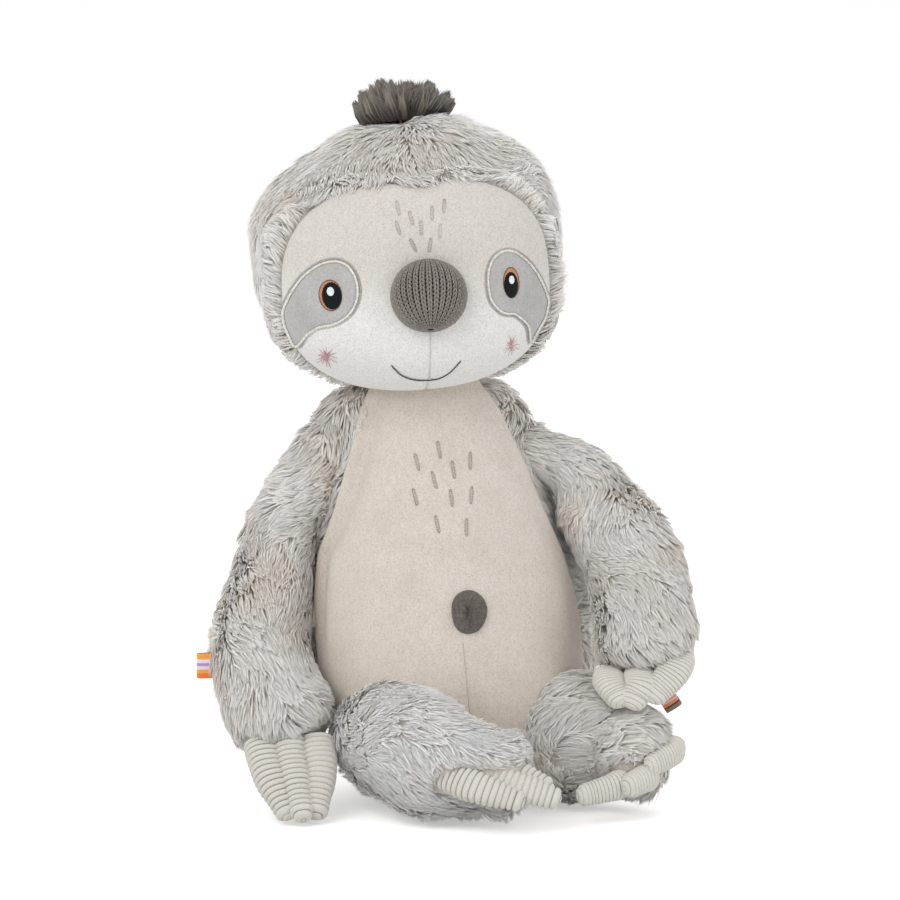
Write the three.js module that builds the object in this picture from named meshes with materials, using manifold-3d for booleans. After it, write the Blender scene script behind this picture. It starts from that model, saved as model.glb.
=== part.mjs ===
// A seated plush sloth. Millimetres, +Z up, the toy looks along -Y and its own left side is +X.
// The origin is the middle of the flat seat.
import * as THREE from 'three';
import { mergeVertices } from 'three/addons/utils/BufferGeometryUtils.js';
import Module from 'manifold-3d';

const wasm = await Module();
wasm.setup();

// Cloth and fits
const CLOTH = 3.5; // backing cloth with its flattened pile
const FIT = 0.3; // gap between two sewn pieces
const SWING = 0.8; // clearance round a limb that swings
const ROOT_EASE = 0.2; // how far round its root ball a limb is left uncut

// Torso: a pear that leans to the toy's right
const LEAN = 0.1; // sideways lean for each millimetre of height
const SEAT_HALF = 47; // half width where the seat meets the floor
const HAUNCH_Z = 40;
const HAUNCH_HALF = 70;
const BELLY_Z = 98;
const BELLY_HALF = 77;
const CHEST_Z = 158;
const CHEST_HALF = 65;
const COLLAR_Z = 206;
const COLLAR_HALF = 51;
const COLLAR_DEPTH = 0.79;
const TORSO_TOP = 226;
const TORSO_TOP_HALF = 38;
const TORSO_TOP_DEPTH = 0.89;
const TORSO_DEPTH = 0.92; // depth of the torso for each unit of width, below the collar

// Neck: a ball of filling that lets the head turn and nod
const NECK_AT = new THREE.Vector3(-23, 0, 232);
const NECK_R = 34;
const NECK_WALL = 5; // the torso's collar round that ball
const NECK_STEM_R = 20; // where the ball reaches up through the collar
const HEAD_POCKET_R = NECK_R + NECK_WALL + 2.8; // the head's hollow clears the collar all round

// Head: a broad rounded form with a low muzzle
const HEAD_AT = new THREE.Vector3(-30, 0, 297);
const HEAD_HALF_WIDTH = 87;
const HEAD_HALF_DEPTH = 74;
const HEAD_HALF_HEIGHT = 72;
const HEAD_FULLNESS = 2.35; // 2 is an ellipsoid, more is boxier
const HEAD_ROLL = THREE.MathUtils.degToRad(-3.3);
const MUZZLE_OUT = 10;
const MUZZLE_SPREAD = 0.55; // radians
const MUZZLE_AIM = new THREE.Vector3(0, -0.8, -0.6).normalize();

// Face panel, in the head's own frame
const FACE_HALF_WIDTH = 76;
const FACE_HALF_HEIGHT = 59;
const FACE_Z = -13;
const FACE_FULLNESS = 2.5;
const FACE_BACK = -20; // the panel's seam under the chin
const PEAK_DEPTH = 5; // the dip of the hair line between the brows
const PEAK_WIDTH = 14;

// Eyes and nose, in the head's own frame
const EYE_X = 48.3;
const EYE_Z = -13.9;
const EYE_HALF_WIDTH = 6;
const EYE_HALF_HEIGHT = 7.3;
const PATCH_LIFT = 1.3; // thickness of the eye patch cloth
const EYE_LIFT = 1; // height of the embroidery on the patch
const PATCH_OUTLINE = [
  [48, 4.7], [35.6, -8], [42.8, -27.6], [53.3, -31.3],
  [63, -44.2], [72, -24.7], [67.6, -13], [59, -1],
];
const NOSE_HALF_WIDTH = 19.8;
const NOSE_HALF_HEIGHT = 19;
const NOSE_HALF_DEPTH = 17;
const NOSE_OUT = 81; // how far ahead of the head's middle the nose ball sits
const NOSE_Z = -16.5;
const NOSE_KNIT = 2.2;

// Hair tuft on the crown
const TUFT_LOCKS = 10;
const TUFT_HALF_WIDTH = 23;
const TUFT_HALF_DEPTH = 15;
const TUFT_LENGTH = 24;
const TUFT_LOCK_R = 7;
const TUFT_BASE_HIGH = 9; // half height of the pad that the locks are gathered on

// Belly panel and navel
const PANEL_SHARE = 0.93; // panel half width for each unit of torso half width
const PANEL_NECK_SHARE = 0.75; // the same at the collar, where the panel is narrower
const PANEL_BOTTOM = 14;
const PANEL_TOP = 240;
const PANEL_BACK = -8;
const PANEL_EASE = 1.6; // the fit is widened by this share where the panel's edge runs at a slant
const NAVEL_X = 4.7;
const NAVEL_Z = 107;
const NAVEL_HALF_WIDTH = 9.7;
const NAVEL_HALF_HEIGHT = 12;
const NAVEL_LIFT = 2.4;

// Bean pouch in the seat
const POUCH_AT = new THREE.Vector3(-2, 6, 17);
const POUCH_R = 40;
const POUCH_HALF_HEIGHT = 11;

// Limbs: centre line and radius, from the joint outwards
const ARM_RIGHT = {
  side: new THREE.Vector3(0, 1, 0),
  path: [[-71, 0, 184, 17], [-96, -4, 151, 21.5], [-106, -10, 119, 24.5], [-112, -19, 87, 27.5],
    [-109, -31, 58, 32], [-104, -40, 47, 31]],
  endCap: 0.8,
};
const ARM_LEFT = {
  side: new THREE.Vector3(0, 1, 0),
  path: [[36, 0, 188, 18], [61, -9, 175, 21], [78, -22, 154, 27], [90, -38, 128, 30],
    [94, -54, 103, 30], [92, -62, 92, 28]],
  endCap: 0.72,
};
const LEG_RIGHT = {
  side: new THREE.Vector3(0, 0, 1),
  path: [[-42, -18, 30.5, 22], [-40, -54, 33, 33.5], [-29, -90, 32.5, 33], [0, -104, 27.5, 28]],
  endCap: 0.9,
};
const LEG_LEFT = {
  side: new THREE.Vector3(0, 0, 1),
  path: [[36, -18, 31.5, 22], [56, -44, 37, 36], [74, -66, 32.5, 33], [82, -80, 28.5, 29]],
  endCap: 0.85,
};

const ROOT_STEPS = 4; // divisions of the quarter circle that the root ball is cut to
const FLANK_STEP = 13; // spacing of the points that follow the torso's flank

// Swings, in degrees from rest
const LEG_LIFT = [0, 25];
const LEG_SPREAD = [0, 25];

// Claws: each lobe runs from its root, inside the paw, to its tip
const CLAW_ROOT_R = 10.5;
const CLAW_TIP_R = 7;
const CLAW_FLATNESS = 0.78; // thickness of a lobe for each unit of width
const HAND_CLAWS_RIGHT = {
  side: new THREE.Vector3(1, 0, 0),
  lobes: [
    [[-118, -50, 38], [-116, -66, 24], [-109, -82, 8]],
    [[-103, -52, 38], [-102, -69, 23], [-101, -87, 8]],
    [[-88, -50, 38], [-88, -66, 24], [-93, -82, 8]],
  ],
};
const HAND_CLAWS_LEFT = {
  side: new THREE.Vector3(1, 0, 0),
  lobes: [
    [[76, -70, 94], [72, -85, 81], [74, -90, 69]],
    [[92, -72, 94], [88, -89, 80], [81, -93, 68]],
    [[108, -66, 98], [105, -84, 84], [89, -92, 70]],
  ],
};
const FOOT_CLAWS_RIGHT = {
  side: new THREE.Vector3(0, 0.6, 0.8),
  lobes: [
    [[-26, -112, 28], [-10, -126, 23], [9, -131, 17]],
    [[-14, -106, 35], [8, -121, 29], [31, -127, 19]],
    [[-6, -96, 42], [14, -110, 37], [32, -118, 26]],
  ],
};
const FOOT_CLAWS_LEFT = {
  side: new THREE.Vector3(0, 0, 1),
  lobes: [
    [[77, -89, 27], [67, -103, 21], [53, -103, 12]],
    [[94, -85, 31], [90, -101, 27], [75, -107, 18]],
    [[104, -74, 42], [104, -90, 38], [92, -102, 29]],
  ],
};

// Ribbon loops sewn into the side seams
const LOOP_OUT = 13;
const LOOP_WIDE = 14;
const LOOP_THICK = 0.9;
const LOOP_GAP = 1.6;
const LOOP_SEWN_IN = 3; // how much of the loop is caught in the seam
const ARM_LOOP = {
  at: new THREE.Vector3(-108, -22, 76), // on the centre line of the limb
  aim: new THREE.Vector3(-1, 0, 0),
  reach: 30.5, // from the centre line to where the loop leaves the fur
  turn: 0,
  droop: 0,
};
const LEG_LOOP = {
  at: new THREE.Vector3(75, -62, 36),
  aim: new THREE.Vector3(1, -0.1, 0),
  reach: 31,
  turn: 0.3,
  droop: -0.5,
};

// How finely the soft forms are divided
const TORSO_SIDES = 24;
const TORSO_RINGS = 9;
const HEAD_SIDES = 24;
const HEAD_RINGS = 14;
const LIMB_SIDES = 12;
const LIMB_RINGS = 6;
const LINING_SHARE = 0.6; // inner surfaces are divided more coarsely by this share
const BALL_SIDES = 16;
const BALL_RINGS = 8;
const NOD_SIDES = 32;
const SPUN_SIDES = 24;
const LOBE_SIDES = 8;
const LOBE_RINGS = 2;

const FUR = new THREE.MeshStandardMaterial({ color: 0xc8c3bb, roughness: 0.95, metalness: 0 });
const VELOUR = new THREE.MeshStandardMaterial({ color: 0xddd1c5, roughness: 0.9, metalness: 0 });
const GREY_VELOUR = new THREE.MeshStandardMaterial({ color: 0xb0aca8, roughness: 0.9, metalness: 0 });
const THREAD = new THREE.MeshStandardMaterial({ color: 0x1c1e20, roughness: 0.5, metalness: 0 });
const KNIT = new THREE.MeshStandardMaterial({ color: 0x6f6862, roughness: 0.95, metalness: 0 });
const CORDUROY = new THREE.MeshStandardMaterial({ color: 0xd6cfc7, roughness: 0.9, metalness: 0 });
const YARN = new THREE.MeshStandardMaterial({ color: 0x6c655e, roughness: 0.95, metalness: 0 });
const FILLING = new THREE.MeshStandardMaterial({ color: 0xf2f0ec, roughness: 1, metalness: 0 });
const BEANS = new THREE.MeshStandardMaterial({ color: 0xe6e2da, roughness: 0.8, metalness: 0 });
const RIBBON = new THREE.MeshStandardMaterial({ color: 0xf08a4a, roughness: 0.6, metalness: 0 });

// Turns a closed geometry into a solid that can be joined and cut.
function solidOf(geometry) {
  const bare = geometry.clone();
  bare.deleteAttribute('normal');
  bare.deleteAttribute('uv');
  const merged = mergeVertices(bare, 1e-4);
  const corners = merged.index.array;
  const kept = [];
  for (let i = 0; i < corners.length; i += 3) {
    const [a, b, c] = [corners[i], corners[i + 1], corners[i + 2]];
    if (a !== b && b !== c && c !== a) kept.push(a, b, c);
  }
  return new wasm.Manifold(new wasm.Mesh({
    numProp: 3,
    vertProperties: Float32Array.from(merged.attributes.position.array),
    triVerts: Uint32Array.from(kept),
  }));
}

// Spins a closed profile of [distance, height] pairs about an axis through a pivot.
function spun(profile, pivot, axis) {
  const points = profile.map(([out, up]) => new THREE.Vector2(out, up));
  if (THREE.ShapeUtils.area(points) < 0) points.reverse();
  const lathe = new THREE.LatheGeometry([...points, points[0]], SPUN_SIDES);
  lathe.applyQuaternion(new THREE.Quaternion().setFromUnitVectors(new THREE.Vector3(0, 1, 0), axis));
  lathe.translate(pivot.x, pivot.y, pivot.z);
  return solidOf(lathe);
}

function geometryOf(solid) {
  const { vertProperties, triVerts } = solid.getMesh();
  const geometry = new THREE.BufferGeometry();
  geometry.setAttribute('position', new THREE.BufferAttribute(vertProperties, 3));
  geometry.setIndex(new THREE.BufferAttribute(triVerts, 1));
  geometry.computeVertexNormals();
  return geometry;
}

function cutAll(solid, cutters) {
  return cutters.reduce((left, cutter) => left.subtract(cutter), solid);
}

function joinAll(solids) {
  return solids.reduce((whole, solid) => whole.add(solid));
}

function ballAt(centre, radius) {
  const ball = new THREE.SphereGeometry(radius, BALL_SIDES, BALL_RINGS);
  ball.rotateX(Math.PI / 2);
  ball.translate(centre.x, centre.y, centre.z);
  return solidOf(ball);
}

// A ball whose flats, not its corners, keep the radius: the pocket that a ball turns in.
function pocketAt(centre, radius) {
  return ballAt(centre, radius / (Math.cos(Math.PI / BALL_SIDES) * Math.cos(Math.PI / (2 * BALL_RINGS))));
}

function boxBetween(low, high) {
  const size = high.clone().sub(low);
  const middle = high.clone().add(low).multiplyScalar(0.5);
  const box = new THREE.BoxGeometry(size.x, size.y, size.z);
  box.translate(middle.x, middle.y, middle.z);
  return solidOf(box);
}

const REACH = 600; // longer than the toy, for the boxes that cut half of space away

function below(height) {
  return boxBetween(new THREE.Vector3(-REACH, -REACH, -REACH), new THREE.Vector3(REACH, REACH, height));
}

// A closed form swept along a smooth path: stations hold a centre and the two half widths,
// the wide one along `side`, and both ends are rounded off by a cap. Its sections stand square
// to the path, or to `normal` where one is given.
function sweep(stations, side, { sides, rings, startCap = 1, endCap = 1, capRings = 3, normal = null }) {
  const path = new THREE.CatmullRomCurve3(stations.map((s) => s.at), false, 'catmullrom', 0.5);
  const sizes = new THREE.CatmullRomCurve3(
    stations.map((s) => new THREE.Vector3(s.wide, s.deep, 0)), false, 'catmullrom', 0.5);
  const sections = [];
  const addSection = (t, offset, share) => {
    const along = (normal ?? path.getTangent(t)).clone();
    const across = side.clone().addScaledVector(along, -side.dot(along)).normalize();
    const over = along.clone().cross(across);
    const size = sizes.getPoint(t);
    const centre = path.getPoint(t).addScaledVector(along, offset);
    sections.push({ centre, across: across.multiplyScalar(size.x * share),
      over: over.multiplyScalar(size.y * share) });
  };
  const capReach = (t, cap) => Math.min(sizes.getPoint(t).x, sizes.getPoint(t).y) * cap;
  for (let k = capRings; k > 0; k -= 1) {
    const turn = (k / (capRings + 1)) * Math.PI / 2;
    addSection(0, -capReach(0, startCap) * Math.sin(turn), Math.cos(turn));
  }
  for (let k = 0; k <= rings; k += 1) addSection(k / rings, 0, 1);
  for (let k = 1; k <= capRings; k += 1) {
    const turn = (k / (capRings + 1)) * Math.PI / 2;
    addSection(1, capReach(1, endCap) * Math.sin(turn), Math.cos(turn));
  }
  const points = [];
  for (const { centre, across, over } of sections) {
    for (let j = 0; j < sides; j += 1) {
      const turn = (j / sides) * Math.PI * 2;
      points.push(centre.clone().addScaledVector(across, Math.cos(turn)).addScaledVector(over, Math.sin(turn)));
    }
  }
  const first = path.getPoint(0).addScaledVector(normal ?? path.getTangent(0), -capReach(0, startCap));
  const last = path.getPoint(1).addScaledVector(normal ?? path.getTangent(1), capReach(1, endCap));
  points.push(first, last);
  const faces = [];
  for (let i = 0; i < sections.length - 1; i += 1) {
    for (let j = 0; j < sides; j += 1) {
      const next = (j + 1) % sides;
      const [a, b, c, d] = [i * sides + j, i * sides + next, (i + 1) * sides + next, (i + 1) * sides + j];
      faces.push(a, b, c, a, c, d);
    }
  }
  const top = (sections.length - 1) * sides;
  for (let j = 0; j < sides; j += 1) {
    const next = (j + 1) % sides;
    faces.push(points.length - 2, next, j, points.length - 1, top + j, top + next);
  }
  const geometry = new THREE.BufferGeometry().setFromPoints(points);
  geometry.setIndex(faces);
  return solidOf(geometry);
}

// Half width of the torso at a height, along the same smooth line as its outer form.
const TORSO_LINE = [[-12, SEAT_HALF - 16, TORSO_DEPTH], [0, SEAT_HALF, TORSO_DEPTH],
  [HAUNCH_Z, HAUNCH_HALF, TORSO_DEPTH], [BELLY_Z, BELLY_HALF, TORSO_DEPTH], [CHEST_Z, CHEST_HALF, TORSO_DEPTH],
  [COLLAR_Z, COLLAR_HALF, COLLAR_DEPTH], [TORSO_TOP, TORSO_TOP_HALF, TORSO_TOP_DEPTH]];

const TORSO_CURVE = new THREE.CatmullRomCurve3(
  TORSO_LINE.map(([z, half]) => new THREE.Vector3(half, 0, z)), false, 'catmullrom', 0.5).getPoints(120);

// Half width of the torso at a height, read off its smooth line.
function torsoHalf(z) {
  const above = TORSO_CURVE.find((p) => p.z >= z) ?? TORSO_CURVE.at(-1);
  return above.x;
}

// The torso's pear, `grow` wider all round and cut flat at the seat.
function pearForm(grow) {
  const stations = TORSO_LINE.map(([z, half, depth]) => ({
    at: new THREE.Vector3(-LEAN * z, 0, z),
    wide: half + grow,
    deep: half * depth + grow,
  }));
  const side = new THREE.Vector3(1, 0, 0);
  const pear = sweep(stations, side, {
    sides: divided(TORSO_SIDES, grow < 0), rings: divided(TORSO_RINGS, grow < 0), startCap: 0.1, endCap: 0.1, capRings: 0,
    normal: new THREE.Vector3(0, 0, 1),
  });
  return pear.subtract(below(Math.max(-grow, 0)));
}

// The pear with the collar that closes round the neck ball.
function torsoForm(grow) {
  return pearForm(grow).add(ballAt(NECK_AT, NECK_R + SWING + NECK_WALL));
}

// Fewer divisions for a surface that lies inside the cloth.
function divided(count, coarse) {
  return coarse ? Math.round((count * LINING_SHARE) / 2) * 2 : count;
}

function pointOf([x, y, z]) {
  return new THREE.Vector3(x, y, z);
}

// A limb's whole loft, wider by `grow` all round.
function limbSweep(limb, grow) {
  const stations = limb.path.map(([x, y, z, r]) => ({
    at: new THREE.Vector3(x, y, z), wide: r + grow, deep: r + grow,
  }));
  return sweep(stations, limb.side, {
    sides: divided(LIMB_SIDES, grow < 0), rings: divided(LIMB_RINGS, grow < 0), endCap: limb.endCap, capRings: 2,
  });
}

// What an arm's inner side is cut by, outside the ball of its root: a form spun about the
// shoulder, which clears the torso's flank however far the arm is swung.
function flankWay(limb) {
  const pivot = pointOf(limb.path[0]);
  const outward = Math.sign(pivot.x + LEAN * pivot.z);
  const root = rootRadius(limb) + ROOT_EASE;
  const low = pivot.z - root;
  const flank = torsoHalf(low) + SWING - outward * (LEAN * low + pivot.x); // from the joint out to the flank
  const lastTurn = Math.PI / 2 + Math.asin(THREE.MathUtils.clamp(flank / root, 0, 0.7));
  const line = [];
  for (let i = 0; i <= ROOT_STEPS; i += 1) {
    const turn = (i / ROOT_STEPS) * lastTurn;
    line.push([root * Math.sin(turn), -outward * root * Math.cos(turn)]);
  }
  for (let out = root; out < pivot.z + FLANK_STEP; out += FLANK_STEP) {
    const z = pivot.z - out;
    line.push([out, outward * (torsoHalf(z) + SWING) - LEAN * z - pivot.x]);
  }
  const inside = -outward * REACH / 3;
  const profile = [[0, inside], ...line, [line.at(-1)[0], inside]];
  return spun(profile, pivot, X);
}

// What a leg is cut by: the torso as it lies at rest, halfway and at the end of the leg's swing.
function haunchWay(limb, axis, range) {
  const pivot = pointOf(limb.path[0]);
  const haunch = geometryOf(pearForm(SWING));
  return joinAll([range[0], (range[0] + range[1]) / 2, range[1]].map((angle) => {
    const way = haunch.clone().translate(-pivot.x, -pivot.y, -pivot.z);
    way.applyMatrix4(new THREE.Matrix4().makeRotationAxis(axis, -THREE.MathUtils.degToRad(angle)));
    return solidOf(way.translate(pivot.x, pivot.y, pivot.z));
  }));
}

function rootRadius(limb) {
  return limb.path[0][3];
}

// The padded claws of one paw: three tapering lobes joined side by side.
function clawForm(claws, grow) {
  const lobes = claws.lobes.map(([root, middle, tip]) => {
    const stations = [[root, CLAW_ROOT_R], [middle, CLAW_ROOT_R], [tip, CLAW_TIP_R]].map(([at, r]) => ({
      at: pointOf(at), wide: r + grow, deep: r * CLAW_FLATNESS + grow,
    }));
    return sweep(stations, claws.side, { sides: LOBE_SIDES, rings: LOBE_RINGS, capRings: 1 });
  });
  return joinAll(lobes);
}

// A prism standing on an outline in the X-Z plane, from y = near back to front.
function prismOf(outline, near, length = REACH / 2) {
  const shape = new THREE.Shape(outline.map(([x, z]) => new THREE.Vector2(x, z)));
  const prism = new THREE.ExtrudeGeometry(shape, { depth: length, bevelEnabled: false });
  prism.rotateX(Math.PI / 2);
  prism.translate(0, near, 0);
  return prism;
}

function placeOnHead(geometry) {
  geometry.rotateY(HEAD_ROLL);
  geometry.translate(HEAD_AT.x, HEAD_AT.y, HEAD_AT.z);
  return solidOf(geometry);
}

// Distance from the head's middle to its surface in one direction.
function headReach(aim) {
  const power = HEAD_FULLNESS;
  const sum = Math.abs(aim.x / HEAD_HALF_WIDTH) ** power + Math.abs(aim.y / HEAD_HALF_DEPTH) ** power
    + Math.abs(aim.z / HEAD_HALF_HEIGHT) ** power;
  const muzzle = MUZZLE_OUT * Math.exp(-((aim.angleTo(MUZZLE_AIM) / MUZZLE_SPREAD) ** 2));
  return sum ** (-1 / power) + muzzle;
}

function headForm(grow) {
  const form = new THREE.SphereGeometry(1, divided(HEAD_SIDES, grow < 0), divided(HEAD_RINGS, grow < 0));
  form.rotateX(Math.PI / 2);
  const points = form.attributes.position;
  const aim = new THREE.Vector3();
  for (let i = 0; i < points.count; i += 1) {
    aim.fromBufferAttribute(points, i).normalize();
    aim.multiplyScalar(headReach(aim) + grow);
    points.setXYZ(i, aim.x, aim.y, aim.z);
  }
  return placeOnHead(form);
}

// An oval outline with squared-off shoulders, `fullness` 2 being a plain ellipse.
function ovalOutline(halfWidth, halfHeight, fullness, steps, middle = [0, 0]) {
  const outline = [];
  for (let i = 0; i < steps; i += 1) {
    const turn = ((i + 0.5) / steps) * Math.PI * 2;
    const [c, s] = [Math.cos(turn), Math.sin(turn)];
    outline.push([middle[0] + halfWidth * Math.sign(c) * Math.abs(c) ** (2 / fullness),
      middle[1] + halfHeight * Math.sign(s) * Math.abs(s) ** (2 / fullness)]);
  }
  return outline;
}

function faceOutline(grow) {
  const steps = 44;
  const oval = ovalOutline(FACE_HALF_WIDTH + grow, FACE_HALF_HEIGHT + grow, FACE_FULLNESS, steps, [0, FACE_Z]);
  return oval.map(([x, z]) => {
    const dip = z > FACE_Z ? PEAK_DEPTH * Math.exp(-((x / PEAK_WIDTH) ** 2)) : 0;
    return [x, z - dip];
  });
}

function patchOutline(mirror) {
  const corners = PATCH_OUTLINE.map(([x, z]) => new THREE.Vector3(mirror * x, z, 0));
  const line = new THREE.CatmullRomCurve3(corners, true, 'centripetal');
  const outline = line.getPoints(18).slice(0, -1).map((p) => [p.x, p.y]);
  return mirror > 0 ? outline : outline.reverse();
}

function bellyOutline(grow) {
  const rows = 12;
  const right = [];
  for (let i = 0; i <= rows; i += 1) {
    const z = PANEL_BOTTOM + ((PANEL_TOP - PANEL_BOTTOM) * i) / rows;
    const taper = Math.min(1, 0.3 + (z - PANEL_BOTTOM) / 60);
    const up = THREE.MathUtils.clamp((z - CHEST_Z) / (COLLAR_Z - CHEST_Z), 0, 1);
    const share = THREE.MathUtils.lerp(PANEL_SHARE, PANEL_NECK_SHARE, up);
    const shift = i === 0 ? -grow : 0;
    right.push([torsoHalf(z) * share * taper + PANEL_EASE * grow - LEAN * z, z + shift]);
  }
  right.at(-1)[1] += grow;
  const left = right.map(([x, z]) => [-2 * LEAN * z - x, z]).reverse();
  return right.concat(left);
}

const X = new THREE.Vector3(1, 0, 0);
const LIFT = new THREE.Vector3(-1, 0, 0); // a positive turn brings a limb forwards and up
const SPREAD = new THREE.Vector3(0, 0, 1); // a positive turn brings the left leg outwards

// Balls that the limbs and the neck turn on
const shoulderRight = pointOf(ARM_RIGHT.path[0]);
const shoulderLeft = pointOf(ARM_LEFT.path[0]);
const hipRight = pointOf(LEG_RIGHT.path[0]);
const hipLeft = pointOf(LEG_LEFT.path[0]);
const neckPocket = pocketAt(NECK_AT, NECK_R + SWING);
const rootPockets = [ARM_RIGHT, ARM_LEFT, LEG_RIGHT, LEG_LEFT].map(
  (limb) => pocketAt(pointOf(limb.path[0]), rootRadius(limb) + SWING));

// The ball that the head nods on, its flats running round the nodding axis.
function nodBall(radius) {
  const ball = new THREE.SphereGeometry(radius, NOD_SIDES, BALL_RINGS);
  ball.rotateZ(Math.PI / 2);
  ball.translate(NECK_AT.x, NECK_AT.y, NECK_AT.z);
  return solidOf(ball);
}

function stemOf(radius, reach) {
  const stem = new THREE.CylinderGeometry(radius, radius, reach, 24);
  stem.rotateX(Math.PI / 2);
  stem.translate(NECK_AT.x, NECK_AT.y, NECK_AT.z + reach / 2);
  return solidOf(stem);
}

const group = new THREE.Group();

function bodyGroup(pivot) {
  const body = new THREE.Group();
  body.position.copy(pivot);
  group.add(body);
  return body;
}

// The main body of a cut form: offcuts under a hundredth of it are thrown away.
function trimmed(solid) {
  const bodies = solid.decompose();
  const kept = bodies.filter((body) => body.volume() > solid.volume() / 100);
  return kept.length > 0 ? joinAll(kept) : solid;
}

function sew(body, name, solid, material) {
  const geometry = geometryOf(trimmed(solid));
  geometry.translate(-body.position.x, -body.position.y, -body.position.z);
  const mesh = new THREE.Mesh(geometry, material);
  mesh.name = name;
  body.add(mesh);
}

// Splits a form by the plane x = at, leaving the fit between its two halves.
function halvesOf(solid, at, slope) {
  const halves = [-1, 1].map((sign) => {
    const half = new THREE.BoxGeometry(REACH, 2 * REACH, 2 * REACH);
    half.translate(sign * (REACH / 2 + FIT / 2), 0, 0);
    half.rotateY(slope);
    half.translate(at.x, at.y, at.z);
    return solid.intersect(solidOf(half));
  });
  return { right: halves[0], left: halves[1] };
}

// Torso
const torso = bodyGroup(new THREE.Vector3());
const collarMouth = stemOf(NECK_STEM_R + SWING, REACH / 4);
const torsoShell = cutAll(torsoForm(0), [pearForm(-CLOTH), neckPocket, collarMouth, ...rootPockets]);
const bellyPrism = solidOf(prismOf(bellyOutline(0), PANEL_BACK));
const bellyHalves = halvesOf(torsoShell.intersect(bellyPrism), new THREE.Vector3(), -Math.atan(LEAN));
sew(torso, 'body_fur', torsoShell.subtract(solidOf(prismOf(bellyOutline(FIT), PANEL_BACK + FIT))), FUR);
sew(torso, 'belly_panel_right', bellyHalves.right, VELOUR);
sew(torso, 'belly_panel_left', bellyHalves.left, VELOUR);

const navelMiddle = [NAVEL_X - LEAN * NAVEL_Z, NAVEL_Z];
const navelOutline = ovalOutline(NAVEL_HALF_WIDTH, NAVEL_HALF_HEIGHT, 2, 20, navelMiddle);
const navelSkin = pearForm(NAVEL_LIFT + FIT).subtract(pearForm(FIT));
sew(torso, 'navel_patch', navelSkin.intersect(solidOf(prismOf(navelOutline, PANEL_BACK))), KNIT);

function pouchForm(grow) {
  const pouch = new THREE.SphereGeometry(1, 14, 8);
  pouch.rotateX(Math.PI / 2);
  pouch.scale(POUCH_R + grow, POUCH_R + grow, POUCH_HALF_HEIGHT + grow);
  pouch.translate(POUCH_AT.x, POUCH_AT.y, POUCH_AT.z);
  return solidOf(pouch);
}

sew(torso, 'seat_bean_pouch', cutAll(pouchForm(0), rootPockets), BEANS);
sew(torso, 'body_filling', cutAll(pearForm(-CLOTH - FIT), [neckPocket, pouchForm(FIT), ...rootPockets]), FILLING);

// Neck
const neck = bodyGroup(NECK_AT);
const stem = stemOf(NECK_STEM_R, REACH / 4).intersect(nodBall(HEAD_POCKET_R * Math.cos(Math.PI / NOD_SIDES) - FIT));
sew(neck, 'neck_filling', ballAt(NECK_AT, NECK_R).add(stem), FILLING);

// Head
const head = bodyGroup(NECK_AT);
const headPocket = nodBall(HEAD_POCKET_R);
const headShell = headForm(0).subtract(headForm(-CLOTH)).subtract(headPocket);
const faceShell = headShell.intersect(placeOnHead(prismOf(faceOutline(0), FACE_BACK)));
const hoodShell = headShell.subtract(placeOnHead(prismOf(faceOutline(FIT), FACE_BACK + FIT)));
const faceHalves = halvesOf(faceShell, HEAD_AT, HEAD_ROLL);
const hoodHalves = halvesOf(hoodShell, HEAD_AT, HEAD_ROLL);
sew(head, 'hood_fur_right', hoodHalves.right, FUR);
sew(head, 'hood_fur_left', hoodHalves.left, FUR);
sew(head, 'face_panel_right', faceHalves.right, VELOUR);
sew(head, 'face_panel_left', faceHalves.left, VELOUR);
sew(head, 'head_filling', headForm(-CLOTH - FIT).subtract(headPocket), FILLING);

const patchSkin = headForm(FIT + PATCH_LIFT).subtract(headForm(FIT));
const eyeSkin = headForm(2 * FIT + PATCH_LIFT + EYE_LIFT).subtract(headForm(2 * FIT + PATCH_LIFT));
for (const [name, mirror] of [['right', -1], ['left', 1]]) {
  const patchPrism = placeOnHead(prismOf(patchOutline(mirror), FACE_BACK));
  sew(head, `eye_patch_${name}`, patchSkin.intersect(patchPrism), GREY_VELOUR);
  const eyeOutline = ovalOutline(EYE_HALF_WIDTH, EYE_HALF_HEIGHT, 2, 16, [mirror * EYE_X, EYE_Z]);
  sew(head, `eye_${name}`, eyeSkin.intersect(placeOnHead(prismOf(eyeOutline, FACE_BACK))), THREAD);
}

function noseForm(inset) {
  const nose = new THREE.SphereGeometry(1, divided(16, inset > 0), divided(10, inset > 0));
  nose.scale(NOSE_HALF_WIDTH - inset, NOSE_HALF_DEPTH - inset, NOSE_HALF_HEIGHT - inset);
  nose.translate(0, -NOSE_OUT, NOSE_Z);
  return placeOnHead(nose);
}

sew(head, 'nose_cover', cutAll(noseForm(0), [noseForm(NOSE_KNIT), headForm(FIT)]), KNIT);
sew(head, 'nose_filling', noseForm(NOSE_KNIT + FIT).subtract(headForm(FIT)), FILLING);

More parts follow.
